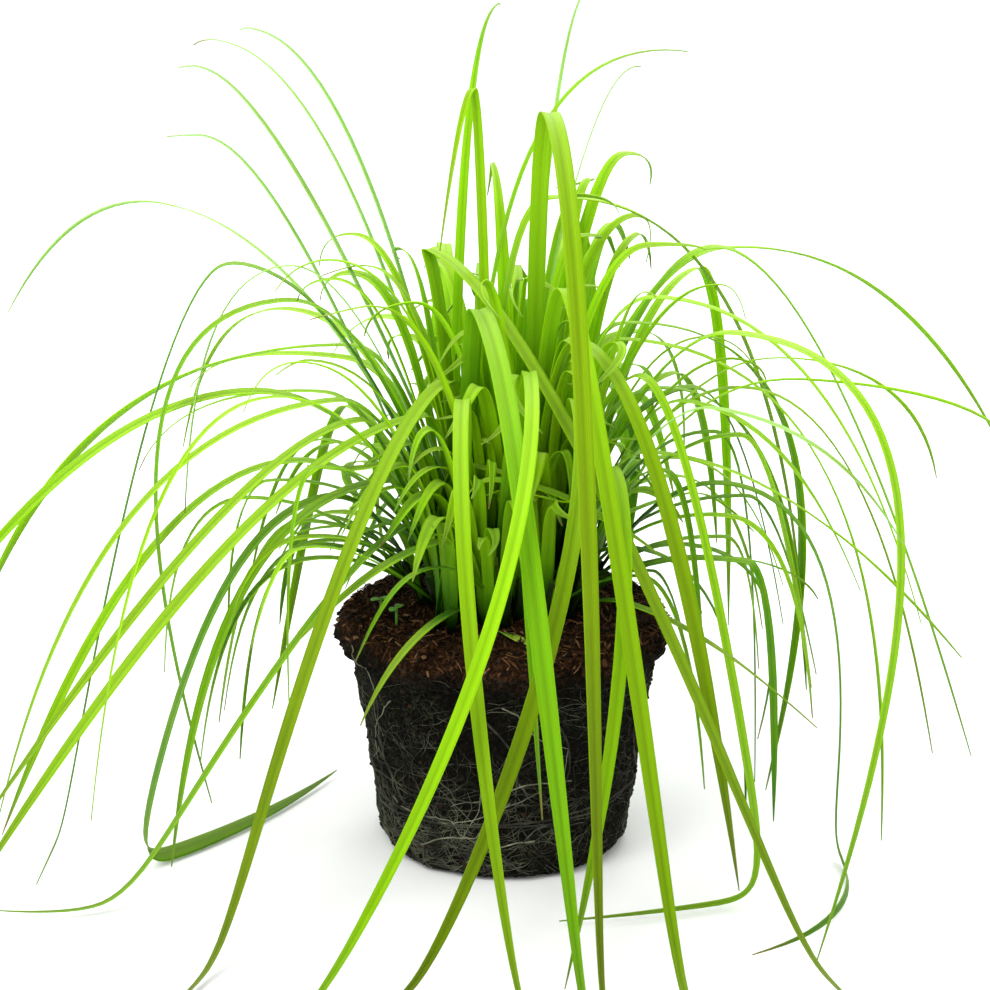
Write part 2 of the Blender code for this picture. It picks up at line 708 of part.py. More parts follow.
def main():
    for obj in list(bpy.data.objects):
        bpy.data.objects.remove(obj)
    collection = working_collection("carex_sedge")
    leaf_green = material("leaf", (0.19, 0.42, 0.02), 0.45)
    soil_brown = material("soil", (0.012, 0.009, 0.006), 0.95)
    root_tan = material("roots", (0.26, 0.22, 0.15), 0.85)
    tuft = grow()
    root_ball([root for root, _ in tuft], collection).data.materials.append(soil_brown)
    surface_roots(collection).data.materials.append(root_tan)
    for i, (root, leaves) in enumerate(tuft):
        shoot(i, root, leaves, collection).data.materials.append(leaf_green)
    for i, (place, height, heading) in enumerate(SEEDLINGS):
        seedling(i, place, height, heading, collection).data.materials.append(leaf_green)


if __name__ == "__main__":
    main()
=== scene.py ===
"""Looks of a carex sedge lifted out of its pot: leafy shoots rooted in a bare root ball."""

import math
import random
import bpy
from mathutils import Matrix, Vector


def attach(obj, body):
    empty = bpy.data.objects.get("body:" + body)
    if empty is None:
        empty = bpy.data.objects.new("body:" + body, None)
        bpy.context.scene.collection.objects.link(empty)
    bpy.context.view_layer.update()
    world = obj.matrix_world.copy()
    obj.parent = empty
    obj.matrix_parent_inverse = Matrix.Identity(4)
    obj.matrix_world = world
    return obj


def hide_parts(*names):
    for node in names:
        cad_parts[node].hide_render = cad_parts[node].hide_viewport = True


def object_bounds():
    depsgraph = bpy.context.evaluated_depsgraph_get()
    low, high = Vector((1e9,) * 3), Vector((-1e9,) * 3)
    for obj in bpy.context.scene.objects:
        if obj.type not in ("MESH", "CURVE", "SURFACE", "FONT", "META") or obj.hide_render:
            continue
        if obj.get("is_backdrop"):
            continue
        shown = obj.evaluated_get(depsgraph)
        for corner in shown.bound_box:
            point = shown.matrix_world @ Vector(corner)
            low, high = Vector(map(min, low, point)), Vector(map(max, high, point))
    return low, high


bl_info = {
    "name": "Carex Sedge",
    "version": (1, 0, 0),
    "blender": (4, 5, 0),
    "location": "3D View > Sidebar > Sedge",
    "description": "Grows the leaves, soil and roots of a carex sedge over its packed part",
    "category": "Object",
}

from collections import namedtuple

import bmesh
import bpy
from bpy.props import FloatProperty, FloatVectorProperty, IntProperty, PointerProperty
from mathutils import Matrix, Vector, noise
from mathutils.bvhtree import BVHTree

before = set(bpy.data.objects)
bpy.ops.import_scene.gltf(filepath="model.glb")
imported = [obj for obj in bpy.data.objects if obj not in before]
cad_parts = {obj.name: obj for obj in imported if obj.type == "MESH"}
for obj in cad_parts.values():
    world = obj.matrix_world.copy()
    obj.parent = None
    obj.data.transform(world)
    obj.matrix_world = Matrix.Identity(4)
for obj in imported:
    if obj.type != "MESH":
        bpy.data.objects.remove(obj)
CAD_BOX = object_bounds()

# Lengths are in millimetres until a mesh is made, headings in degrees from +X towards +Y.
MM = 0.001

# Root ball, turned about Z on its flat base
BASE_RADIUS = 46.0
HEEL_RADIUS = 54.0
HEEL_HEIGHT = 9.0
WALL_TOP_RADIUS = 64.5
WALL_TOP_HEIGHT = 88.0
COLLAR_RADIUS = 70.0
SOIL = 104.0
MOUND = 3.0
HEEL_STEPS = 3
WALL_STEPS = 4
COLLAR_PROFILE = ((68.0, 89.5), (70.5, 94.0), (70.0, 99.0), (66.5, 103.3))
SOIL_RINGS = (54.0, 40.0, 25.0, 11.0)
WALL_BUMP = 1.3
COLLAR_BUMP = 2.6
BUMP_SIZE = 15.0
FINE_BUMP = 0.5
FINE_BUMP_SCALE = 2.3
SOIL_BUMP_SHARE = 0.6
HEEL_CURVE = 1.5
TINY = 1e-6
MERGE_DISTANCE = 1e-4

# Crown of shoots
SHOOTS = 40
CROWN_RADIUS = 33.0
SHEATH_RADIUS = 3.0
SHEATH_TOP_RADIUS = 2.2
SHEATH_DEPTH = 8.0
SHEATH_HEIGHT = 24.0
SHEATH_LEAN = 0.45
SHEATH_SIDES = 6
GOLDEN_ANGLE = 137.508

# Blades
BLADE_START = 7.0
BLADE_BASE_WIDTH = 3.0
BLADE_TIP_WIDTH = 0.9
BLADE_THICKNESS = 0.9
KEEL_SHARE = 0.14
FULL_FROM = 0.25
TAPER_FROM = 0.55
TAPER_POWER = 2.0
RISE_STEPS = 24
FALL_STEPS = 32
TRAIL_STEP = 5.0
SMOOTHINGS = 2
TRAIL_SMOOTHINGS = 8
SEGMENT_LENGTH = 56.0
FEWEST_SEGMENTS = 5
BEND_WEIGHT = 45.0
GROUND_CLEARANCE = 3.0
WALL_CLEARANCE = 3.5
SHEATHED_POINTS = 6
EDGE_SPARE = 1.5

# Growth
LEAVES_A_SHOOT = 5
FEWEST_LEAVES = 2
NEAREST_SHOOTS = 6
TRIES = 60
CLEARANCE = 0.5
FREE_LENGTH = 34.0
FRONT = (218.0, 322.0)
RIM_SWAY = 0.4
UPRIGHT_SHARE = 0.62
ARCHING_SHARE = 0.88
CROWDED_WIDTH = 0.65
HEADING_SPREAD = 60.0
RIM_STEADINESS = 35.0
LEAN_SHARE = (0.3, 0.6)
REACH_SHARE = (0.45, 1.0)
DRIFT_SPREAD = 12.0
GROWTH_SEED = 11

# Roots over the wall
ROOT_RADIUS = 0.8
ROOT_STEP = 8.0
ROOT_START = 79.0
ROOT_END = 9.0
FALLING_ROOTS = 10
CIRCLING_ROOTS = ((14.0, 34.0, 20.0, 1.6), (26.0, 12.0, 200.0, 1.3))
ROOT_SEED = 5
OUTSIDE_BALL = 1.2
CIRCLING_SWAY = 2.5
CIRCLING_WAVES = 9.0
FALLING_PLACE = 0.3
FALLING_SWING = 34.0
FALLING_WAVE = (3.0, 8.0)
FALLING_WAVES = 7.0
FALLING_SLACK = 1.3

# Two seedlings that came up on the soil: place, height, heading
SEEDLINGS = (((-52.0, -13.0), 8.0, 200.0), ((-45.0, -27.0), 9.0, 60.0))
SEEDLING_STEM = 0.6
SEEDLING_DEPTH = 3.0
SEEDLING_LEAF = 2.3
SEEDLING_LEAF_THICKNESS = 0.8
SEEDLING_STEM_SIDES = 5

Leaf = namedtuple(
    "Leaf", "heading lean apex_out apex_up reach tip_out tip_up drift width trail"
)
NO_TRAIL = (0.0, 0.0, 0.0)
Row = namedtuple("Row", "place along side up share")
SPREAD = Leaf(9, 6, 8, 9, 10, 8, 0, 8, 0, 0)

# How a leaf between the leading ones grows, as ranges: how far out and up its highest point is,
# how much further out its tip is, how high that is or how far it has dropped, and its width.
Habit = namedtuple("Habit", "apex_out apex_up beyond tip_up drop width")
FRONT_HABIT = Habit((6, 34), (60, 150), (6, 20), None, (2, 24), (5.4, 8.0))
UPRIGHT_HABIT = Habit((14, 78), (100, 185), (4, 26), None, (1, 20), (4.8, 7.6))
ARCHING_HABIT = Habit((45, 95), (90, 160), (20, 90), (-70, 95), None, (4.2, 6.6))
LOW_HABIT = Habit((32, 80), (26, 80), (15, 65), (-90, 30), None, (3.8, 5.6))


# The leaves that give the tuft its outline: place of the shoot, then the leaf.
# A trail is the stretch on the ground: its heading, its turn in degrees and its length.
LEADING_LEAVES = [
    # Folded over above the tuft, then down across its front
    ((6, -6), Leaf(280, 10, 38, 220, 105, 158, -101, -2, 7.2, (275, 15, 60))),
    ((-12, -8), Leaf(318, -12, -24, 156, 36, 180, -101, 0, 7.2, (300, -25, 50))),
    ((-12, 2), Leaf(235, 8, 14, 222, 22, 37, 160, 0, 4.5, NO_TRAIL)),
    ((-28, -18), Leaf(335, -8, 9, 70, 38, 48, 58, 0, 5.5, NO_TRAIL)),
    # Hanging in front of the root ball
    ((14, -8), Leaf(290, 15, 40, 150, 60, 165, -101, 0, 6.8, (282, 10, 60))),
    ((-8, -12), Leaf(282, 8, 26, 140, 112, 160, -101, 12, 7.8, (278, -15, 60))),
    ((28, -10), Leaf(276, 20, 50, 105, 100, 150, -101, -72, 6.5, (228, 20, 50))),
    ((2, -16), Leaf(273, 15, 45, 120, 125, 160, -101, -90, 5.6, (226, 25, 40))),
    ((-16, -14), Leaf(268, 20, 48, 110, 98, 155, -101, 26, 6.0, (290, -20, 40))),
    ((-6, -8), Leaf(229, 8, 18, 105, 60, 164, -101, 8, 7.4, (244, 15, 50))),
    ((-2, -20), Leaf(277, 25, 50, 95, 80, 85, -52, 7, 3.5, NO_TRAIL)),
    ((28, -14), Leaf(281, 30, 60, 80, 92, 145, -101, -38, 5.6, NO_TRAIL)),
    ((-4, -24), Leaf(212, 6, 15, 42, 50, 85, 12, 0, 6.5, NO_TRAIL)),
    ((-10, -28), Leaf(236, 10, 20, 14, 60, 85, -15, 0, 4.5, NO_TRAIL)),
    # Left
    ((-12, -8), Leaf(205, 8, 18, 90, 93, 225, -95, 0, 7.7, NO_TRAIL)),
    ((-14, -4), Leaf(200, 25, 40, 87, 88, 205, -70, 0, 7.2, NO_TRAIL)),
    ((-14, 6), Leaf(182, 49, 98, 150, 128, 178, -101, 0, 5.7, (268, 0, 60))),
    ((-16, 4), Leaf(190, 37, 75, 136, 165, 113, -85, 0, 5.7, NO_TRAIL)),
    ((-16, 4), Leaf(172, 25, 49, 112, 170, 225, -30, 0, 6.2, NO_TRAIL)),
    ((-18, 0), Leaf(185, 42, 90, 96, 161, 240, -20, 0, 6.2, NO_TRAIL)),
    ((-18, -4), Leaf(195, 30, 60, 90, 162, 205, -80, 0, 6.7, NO_TRAIL)),
    ((-20, -2), Leaf(185, 30, 65, 67, 130, 196, -99, 0, 6.2, NO_TRAIL)),
    ((-20, -6), Leaf(200, 12, 25, 62, 101, 122, -98, 0, 8.1, NO_TRAIL)),
    ((-24, -8), Leaf(198, 20, 42, 55, 94, 130, -101, 0, 8.5, (40, 25, 130))),
    ((-22, -14), Leaf(205, 8, 15, 46, 44, 145, -100, 0, 5.7, (205, -40, 55))),
    ((-10, 14), Leaf(150, 80, 165, 156, 215, 255, 95, 0, 3.0, NO_TRAIL)),
    # Top
    ((-15, 6), Leaf(60, 0, 36, 250, 36, 37, 249, 0, 4.5, NO_TRAIL)),
    ((-18, 6), Leaf(22, -6, 78, 230, 90, 94, 229, 0, 3.6, NO_TRAIL)),
    ((-16, 2), Leaf(20, -2, 24, 175, 130, 150, -45, 0, 6.5, NO_TRAIL)),
    ((-14, 8), Leaf(150, 62, 130, 230, 138, 142, 227, 0, 2.6, NO_TRAIL)),
    ((-8, 8), Leaf(150, 52, 112, 236, 115, 117, 235, 0, 2.4, NO_TRAIL)),
    ((-14, 4), Leaf(165, 90, 127, 225, 131, 135, 224, 0, 3.0, NO_TRAIL)),
    ((-20, 8), Leaf(168, 74, 108, 196, 116, 124, 195, 0, 2.4, NO_TRAIL)),
    ((6, 6), Leaf(40, 25, 62, 160, 80, 72, 138, 0, 4.5, NO_TRAIL)),
    ((12, 8), Leaf(50, 20, 48, 256, 49, 50, 256, 0, 2.4, NO_TRAIL)),
    ((10, 8), Leaf(25, 36, 64, 224, 65, 66, 224, 0, 2.4, NO_TRAIL)),
    # Right
    ((12, 2), Leaf(10, 15, 35, 122, 150, 104, -95, 0, 5.7, NO_TRAIL)),
    ((12, 8), Leaf(25, 48, 95, 146, 184, 250, 35, 0, 5.2, NO_TRAIL)),
    ((14, 4), Leaf(10, 37, 73, 151, 121, 200, -90, 0, 5.7, NO_TRAIL)),
    ((14, 2), Leaf(355, 20, 50, 138, 125, 165, 0, 0, 5.7, NO_TRAIL)),
    ((14, -4), Leaf(340, 38, 78, 128, 188, 140, -99, -85, 6.7, NO_TRAIL)),
    ((16, -6), Leaf(345, 22, 45, 77, 107, 175, 0, 0, 6.2, NO_TRAIL)),
    ((14, -2), Leaf(350, 18, 35, 118, 150, 150, -99, 0, 5.2, NO_TRAIL)),
    ((16, -4), Leaf(330, 22, 45, 113, 67, 108, -101, 0, 6.2, (200, -10, 90))),
    ((12, -8), Leaf(320, 14, 28, 125, 72, 114, -90, 0, 7.2, NO_TRAIL)),
    ((22, -6), Leaf(350, 27, 50, 35, 103, 84, -50, 0, 5.2, NO_TRAIL)),
    ((20, -10), Leaf(320, 15, 30, 16, 70, 125, -15, 0, 4.7, NO_TRAIL)),
    ((26, -4), Leaf(350, 30, 60, 60, 125, 112, -101, 0, 5.7, (285, -80, 120))),
]


def ball_radius(z):
    """Radius of the root ball at a height, without its bumps."""
    if z < HEEL_HEIGHT:
        share = math.sqrt(max(0.0, 1 - (1 - z / HEEL_HEIGHT) ** 2))
        return BASE_RADIUS + (HEEL_RADIUS - BASE_RADIUS) * share
    if z <= WALL_TOP_HEIGHT:
        share = (z - HEEL_HEIGHT) / (WALL_TOP_HEIGHT - HEEL_HEIGHT)
        return HEEL_RADIUS + (WALL_TOP_RADIUS - HEEL_RADIUS) * share
    return COLLAR_RADIUS


def bump(place, height):
    """How far a crumbly surface stands out from the turned one at a point."""
    place = place / BUMP_SIZE
    return height * (noise.noise(place) + FINE_BUMP * noise.noise(place * FINE_BUMP_SCALE))


def direction(heading):
    angle = math.radians(heading)
    return Vector((math.cos(angle), math.sin(angle), 0.0))


def quadratic(a, b, c, t):
    return (1 - t) ** 2 * a + 2 * t * (1 - t) * b + t * t * c


def sheath_axis(root):
    """Direction in which a shoot leaves the soil: upright in the middle, leaning out at the rim."""
    lean = SHEATH_LEAN / CROWN_RADIUS
    return Vector((root.x * lean, root.y * lean, 1.0)).normalized()


def centreline(leaf, root):
    """Points along a leaf: up to its highest point, down from there, then along the ground."""
    ahead = direction(leaf.heading)
    left = direction(leaf.heading + 90)
    start = root + sheath_axis(root) * BLADE_START
    shoulder = root + ahead * leaf.lean + Vector((0, 0, leaf.apex_up))
    apex = root + ahead * leaf.apex_out + Vector((0, 0, leaf.apex_up))
    points = []
    for i in range(RISE_STEPS + 1):
        points.append(quadratic(start, shoulder, apex, i / RISE_STEPS))
    for i in range(1, FALL_STEPS + 1):
        t = i / FALL_STEPS
        out = quadratic(leaf.apex_out, leaf.reach, leaf.tip_out, t)
        up = quadratic(leaf.apex_up, leaf.apex_up, leaf.tip_up, t)
        side = leaf.drift * t**3
        points.append(root + ahead * out + left * side + Vector((0, 0, up)))
    heading, turn, length = leaf.trail
    steps = int(length / TRAIL_STEP)
    for i in range(steps):
        points.append(points[-1] + direction(heading + turn * i / steps) * TRAIL_STEP)
    for _ in range(TRAIL_SMOOTHINGS if steps else SMOOTHINGS):
        middle = [(a + 2 * b + c) / 4 for a, b, c in zip(points, points[1:], points[2:])]
        points = [points[0]] + middle + [points[-1]]
    for p in points:
        p.z = max(p.z, GROUND_CLEARANCE)
    return points


def stations(points, segment=SEGMENT_LENGTH, fewest=FEWEST_SEGMENTS):
    """Points spaced along a line so that its bends get more of them."""
    measure = [0.0]
    for i in range(1, len(points)):
        step = points[i] - points[i - 1]
        bend = 0.0
        if i > 1:
            bend = step.angle(points[i - 1] - points[i - 2], 0.0)
        measure.append(measure[-1] + step.length + BEND_WEIGHT * bend)
    count = max(fewest, round(measure[-1] / segment))
    found = []
    i = 1
    for k in range(count + 1):
        target = measure[-1] * k / count
        while i < len(points) - 1 and measure[i] < target:
            i += 1
        share = (target - measure[i - 1]) / max(measure[i] - measure[i - 1], TINY)
        found.append(points[i - 1].lerp(points[i], min(max(share, 0.0), 1.0)))
    return found


def width_at(share, width, tip=BLADE_TIP_WIDTH):
    """A blade is narrow in its sheath, full from a quarter of its length, and finely tipped."""
    if share < FULL_FROM:
        rise = math.sin(share / FULL_FROM * math.pi / 2)
        return BLADE_BASE_WIDTH + (width - BLADE_BASE_WIDTH) * rise
    fall = max(0.0, (share - TAPER_FROM) / (1 - TAPER_FROM))
    return tip + (width - tip) * (1 - fall**TAPER_POWER)


def rows_along(points, heading):
    """The place and the three directions of a blade at each point of its line."""
    lengths = [0.0]
    for a, b in zip(points, points[1:]):
        lengths.append(lengths[-1] + (b - a).length)
    side = direction(heading + 90)
    rows = []
    for i, p in enumerate(points):
        along = points[min(i + 1, len(points) - 1)] - points[max(i - 1, 0)]
        along.normalize()
        side = (side - along * side.dot(along)).normalized()
        rows.append(Row(p, along, side, along.cross(side), lengths[i] / lengths[-1]))
    return rows


def sections(points, heading, width, spare=0.0):
    """Three-sided rings along a blade: its two edges and its keel underneath."""
    rings = []
    for row in rows_along(points, heading):
        wide = width_at(row.share, width)
        deep = BLADE_THICKNESS + KEEL_SHARE * wide / 2
        half = row.side * (wide / 2 + spare * EDGE_SPARE)
        lift = row.up * spare
        keel = row.place - row.up * (deep + spare * EDGE_SPARE)
        rings.append((row.place + half + lift, row.place - half + lift, keel))
    return rings


def loft(rings):
    """Points and triangles of the closed skin over three-sided rings, all split alike."""
    verts = [corner for ring in rings for corner in ring]
    faces = [(2, 1, 0)]
    for i in range(len(rings) - 1):
        for j in range(3):
            a, b = 3 * i + j, 3 * i + (j + 1) % 3
            faces.append((a, b, b + 3))
            faces.append((a, b + 3, a + 3))
    last = 3 * (len(rings) - 1)
    faces.append((last, last + 1, last + 2))
    return verts, faces


def clears_ball(points):
    """Whether a blade keeps off the root ball once it has left its shoot."""
    for p in points[SHEATHED_POINTS:]:
        outside = math.hypot(p.x, p.y) > ball_radius(p.z) + WALL_CLEARANCE
        if not outside and p.z < SOIL + MOUND + WALL_CLEARANCE:
            return False
    return True


class Tuft:
    """The leaves placed so far, and whether another would touch them."""

    def __init__(self, shoots):
        self.shoots = shoots
        self.leaves = [[] for _ in shoots]
        self.verts = []
        self.faces = []
        self.owners = []
        for i, root in enumerate(shoots):
            self.hold(i, *skin_of(sheath(root)))
        for (x, y), height, _ in SEEDLINGS:
            self.hold(-1, *skin_of(seedling_stem(x, y, height, SEEDLING_LEAF * 2)))
        self.tree = BVHTree.FromPolygons(self.verts, self.faces)

    def hold(self, owner, verts, faces):
        """Keeps a skin's place from later leaves."""
        first = len(self.verts)
        self.verts += verts
        self.faces += [tuple(first + i for i in face) for face in faces]
        self.owners += [owner] * len(faces)

    def free(self, shoot, leaf):
        root = self.shoots[shoot]
        line = centreline(leaf, root)
        if not clears_ball(line):
            return False
        points = stations(line)
        verts, faces = loft(sections(points, leaf.heading, leaf.width, CLEARANCE))
        candidate = BVHTree.FromPolygons(verts, faces)
        for own, other in candidate.overlap(self.tree):
            near = (verts[faces[own][0]] - root).length < FREE_LENGTH
            if self.owners[other] != shoot or not near:
                return False
        return True

    def add(self, shoot, leaf):
        self.leaves[shoot].append(leaf)
        points = stations(centreline(leaf, self.shoots[shoot]))
        self.hold(shoot, *loft(sections(points, leaf.heading, leaf.width)))
        self.tree = BVHTree.FromPolygons(self.verts, self.faces)


def crown():
    """Roots of the shoots, in a sunflower's spacing."""
    places = []
    for i in range(SHOOTS):
        out = CROWN_RADIUS * math.sqrt((i + 0.5) / SHOOTS)
        places.append(direction(i * GOLDEN_ANGLE) * out + Vector((0, 0, SOIL)))
    return places


def nudged(leaf, draw, share):
    """The same leaf grown a little differently."""
    changed = {}
    for name, most in SPREAD._asdict().items():
        if most:
            changed[name] = getattr(leaf, name) + draw.uniform(-most, most) * share
    return leaf._replace(**changed)


def habit_of(heading, rim, draw):
    """Short leaves in front, elsewhere steep ones from the middle and lower ones from the rim."""
    kind = draw.random() + RIM_SWAY * (rim - 0.5)
    if FRONT[0] < heading < FRONT[1]:
        return FRONT_HABIT
    if kind < UPRIGHT_SHARE:
        return UPRIGHT_HABIT
    if kind < ARCHING_SHARE:
        return ARCHING_HABIT
    return LOW_HABIT


def filling_leaf(place, draw, vigour):
    """A leaf between the leading ones: steep from the middle of the crown, lower from its rim."""
    outward = math.degrees(math.atan2(place.y, place.x))
    rim = math.hypot(place.x, place.y) / CROWN_RADIUS
    heading = (outward + draw.gauss(0, HEADING_SPREAD - RIM_STEADINESS * rim)) % 360
    habit = habit_of(heading, rim, draw)
    apex_out, apex_up = draw.uniform(*habit.apex_out), draw.uniform(*habit.apex_up)
    tip_out = apex_out + draw.uniform(*habit.beyond)
    if habit.drop:
        tip_up = apex_up - draw.uniform(*habit.drop)
    else:
        tip_up = draw.uniform(*habit.tip_up)
    lean = apex_out * draw.uniform(*LEAN_SHARE)
    reach = apex_out + (tip_out - apex_out) * draw.uniform(*REACH_SHARE)
    width = draw.uniform(*habit.width) * vigour
    drift = draw.gauss(0, DRIFT_SPREAD)
    return Leaf(heading, lean, apex_out, apex_up, reach, tip_out, tip_up, drift, width, NO_TRAIL)


def grow():
    """The root and the leaves of each shoot: leading leaves first, then those that find room."""
    draw = random.Random(GROWTH_SEED)
    tuft = Tuft(crown())
    for (x, y), leaf in LEADING_LEAVES:
        wanted = Vector((x, y, SOIL))
        order = sorted(range(SHOOTS), key=lambda i: (tuft.shoots[i] - wanted).length)
        for attempt in range(TRIES):
            shoot = order[attempt % NEAREST_SHOOTS]
            if len(tuft.leaves[shoot]) >= LEAVES_A_SHOOT:
                continue
            grown = nudged(leaf, draw, attempt / TRIES)
            if tuft.free(shoot, grown):
                tuft.add(shoot, grown)
                break
    for _ in range(LEAVES_A_SHOOT):
        for shoot, place in enumerate(tuft.shoots):
            if len(tuft.leaves[shoot]) >= LEAVES_A_SHOOT:
                continue
            for attempt in range(TRIES):
                vigour = 1 - (1 - CROWDED_WIDTH) * attempt / TRIES
                leaf = filling_leaf(place, draw, vigour)
                if tuft.free(shoot, leaf):
                    tuft.add(shoot, leaf)
                    break
    return [pair for pair in zip(tuft.shoots, tuft.leaves) if len(pair[1]) >= FEWEST_LEAVES]


def turned_to(axis):
    """The turn that takes the Z axis to a direction."""
    return Vector((0, 0, 1)).rotation_difference(axis).to_matrix().to_4x4()


def cone(foot, top, low_radius, high_radius, sides):
    """A closed cone between two points as a mesh in work."""
    made = bmesh.new()
    bmesh.ops.create_cone(
        made,
        cap_ends=True,
        segments=sides,
        radius1=low_radius,
        radius2=high_radius,
        depth=(top - foot).length,
        matrix=Matrix.Translation((foot + top) / 2) @ turned_to(top - foot),
    )
    return made


def sheath(root, sides=SHEATH_SIDES):
    """The closed foot of a shoot as a mesh in work, from inside the soil up."""
    axis = sheath_axis(root)
    foot = root - axis * SHEATH_DEPTH
    return cone(foot, root + axis * SHEATH_HEIGHT, SHEATH_RADIUS, SHEATH_TOP_RADIUS, sides)


def skin_of(made):
    """Points and faces of a mesh in work."""
    made.verts.index_update()
    verts = [v.co.copy() for v in made.verts]
    faces = [tuple(v.index for v in face.verts) for face in made.faces]
    return verts, faces


def soil_height(out):
    """Height of the soil at a distance from the middle."""
    return SOIL + MOUND * (1 - (out / COLLAR_PROFILE[-1][0]) ** 2)


def seedling_stem(x, y, height, spare):
    """The closed stem of a seedling as a mesh in work."""
    soil = soil_height(math.hypot(x, y))
    foot, top = Vector((x, y, soil - SEEDLING_DEPTH - spare)), Vector((x, y, soil + height))
    return cone(foot, top, SEEDLING_STEM + spare, SEEDLING_STEM + spare, SEEDLING_STEM_SIDES)


def ball_profile():
    """The outline of the root ball from the middle of its base to the middle of its soil."""
    outline = [(0.0, 0.0), (BASE_RADIUS, 0.0)]
    for i in range(1, HEEL_STEPS + 1):
        z = HEEL_HEIGHT * (i / HEEL_STEPS) ** HEEL_CURVE
        outline.append((ball_radius(z), z))
    for i in range(1, WALL_STEPS + 1):
        z = HEEL_HEIGHT + (WALL_TOP_HEIGHT - HEEL_HEIGHT) * i / WALL_STEPS
        outline.append((ball_radius(z), z))
    outline += COLLAR_PROFILE
    outline += [(out, soil_height(out)) for out in SOIL_RINGS]
    outline.append((0.0, soil_height(0.0)))
    return outline


# Finishes


class Finish:
    """A material in the making: its shader and the few kinds of nodes that feed it."""

    def __init__(self, name, **shader):
        self.material = bpy.data.materials.new(name)
        self.material.use_nodes = True
        self.tree = self.material.node_tree
        self.shader = self.tree.nodes["Principled BSDF"]
        for socket, value in shader.items():
            self.shader.inputs[socket.replace("_", " ")].default_value = value

    def add(self, kind, **settings):
        made = self.tree.nodes.new("ShaderNode" + kind)
        for name, value in settings.items():
            setattr(made, name, value)
        return made

    def feed(self, socket, value):
        if isinstance(value, bpy.types.NodeSocket):
            self.tree.links.new(value, socket)
        else:
            socket.default_value = value

    def place(self):
        return self.add("TexCoord").outputs["Object"]

    def upward(self, vector):
        """The Z part of a vector."""
        split = self.add("SeparateXYZ")
        self.feed(split.inputs[0], vector)
        return split.outputs["Z"]

    def facing_up(self):
        return self.upward(self.add("TexCoord").outputs["Normal"])

    def value(self, name):
        return self.add("Attribute", attribute_name=name).outputs["Fac"]

    def math(self, operation, a, b=0.0):
        made = self.add("Math", operation=operation)
        self.feed(made.inputs[0], a)
        self.feed(made.inputs[1], b)
        return made.outputs[0]

    def between(self, value, low, high, start=0.0, end=1.0):
        """Takes a value from one range to another, and holds it there."""
        made = self.add("MapRange")
        for i, given in enumerate((value, low, high, start, end)):
            self.feed(made.inputs[i], given)
        return made.outputs[0]

    def vector(self, x, y, z):
        made = self.add("CombineXYZ")
        for i, given in enumerate((x, y, z)):
            self.feed(made.inputs[i], given)
        return made.outputs[0]

    def grain(self, vector, scale, detail=3.0, rough=0.6):
        made = self.add("TexNoise")
        self.feed(made.inputs["Vector"], vector)
        self.feed(made.inputs["Scale"], scale)
        self.feed(made.inputs["Detail"], detail)
        self.feed(made.inputs["Roughness"], rough)
        return made.outputs["Fac"]

    def threads(self, vector, scale, thickness):
        """Thin wandering lines, where a slow noise crosses its middle."""
        slow = self.grain(vector, scale, 2.0, 0.45)
        off = self.math("ABSOLUTE", self.math("SUBTRACT", slow, 0.5))
        return self.between(off, 0.0, thickness, 1.0, 0.0)

    def lumps(self, vector, scale):
        made = self.add("TexVoronoi")
        self.feed(made.inputs["Vector"], vector)
        self.feed(made.inputs["Scale"], scale)
        return made.outputs["Distance"]

    def ramp(self, value, *stops):
        made = self.add("ValToRGB")
        while len(made.color_ramp.elements) < len(stops):
            made.color_ramp.elements.new(0.5)
        for element, (place, colour) in zip(made.color_ramp.elements, stops):
            element.position = place
            element.color = (*colour, 1.0)
        self.feed(made.inputs[0], value)
        return made.outputs["Color"]

    def mix(self, share, a, b, blend="MIX"):
        made = self.add("Mix", data_type="RGBA", blend_type=blend)
        for i, given in ((0, share), (6, a), (7, b)):
            self.feed(made.inputs[i], (*given, 1.0) if isinstance(given, tuple) else given)
        return made.outputs[2]

    def shaded(self, colour, shade):
        """A colour made lighter or darker by a value."""
        return self.mix(1.0, colour, self.vector(shade, shade, shade), "MULTIPLY")

    def relief(self, height, distance, strength=1.0):
        made = self.add("Bump")
        made.inputs["Strength"].default_value = strength
        made.inputs["Distance"].default_value = distance
        self.feed(made.inputs["Height"], height)
        self.feed(self.shader.inputs["Normal"], made.outputs["Normal"])

    def colour(self, colour, roughness=None):
        self.feed(self.shader.inputs["Base Color"], colour)
        if roughness is not None:
            self.feed(self.shader.inputs["Roughness"], roughness)
        return self.material


# Painted shade among the leaves: its top and its ring over the soil, and the top of the painted
# shade that darkens everything lower down
HEART_TOP = 64.0
HEART_RING = (46.0, 70.0)
HEART_DARKEST = 0.13
LOW_SHADE_TOP = 210.0
LOW_SHADE_DARKEST = 0.58
SHADED_RED = 0.45


def heart_shade(made):
    """Painted shade between the feet of the leaves, and painted shade that darkens blades the lower
    they hang.
    """
    parts = made.add("SeparateXYZ")
    made.feed(parts.inputs[0], made.place())
    x, y, z = parts.outputs
    square = made.math("ADD", made.math("MULTIPLY", x, x), made.math("MULTIPLY", y, y))
    ring = [edge * MM for edge in HEART_RING]
    feet = made.between(z, SOIL * MM, (SOIL + HEART_TOP) * MM, HEART_DARKEST)
    inside = made.math("MAXIMUM", feet, made.between(made.math("SQRT", square), *ring))
    # Painted shade that darkens every blade the lower it hangs
    green = made.math("MULTIPLY", inside, made.between(z, 0.0, LOW_SHADE_TOP * MM, LOW_SHADE_DARKEST))
    red = made.math("MULTIPLY", green, made.math("POWER", inside, SHADED_RED))
    return made.vector(red, green, green)


def blade_ramp(made, along, *stops):
    """Colours along a blade, from the painted shade at the foot that all blades share."""
    return made.ramp(along, (0.0, (0.006, 0.009, 0.002)), (0.05, (0.010, 0.034, 0.001)), *stops)


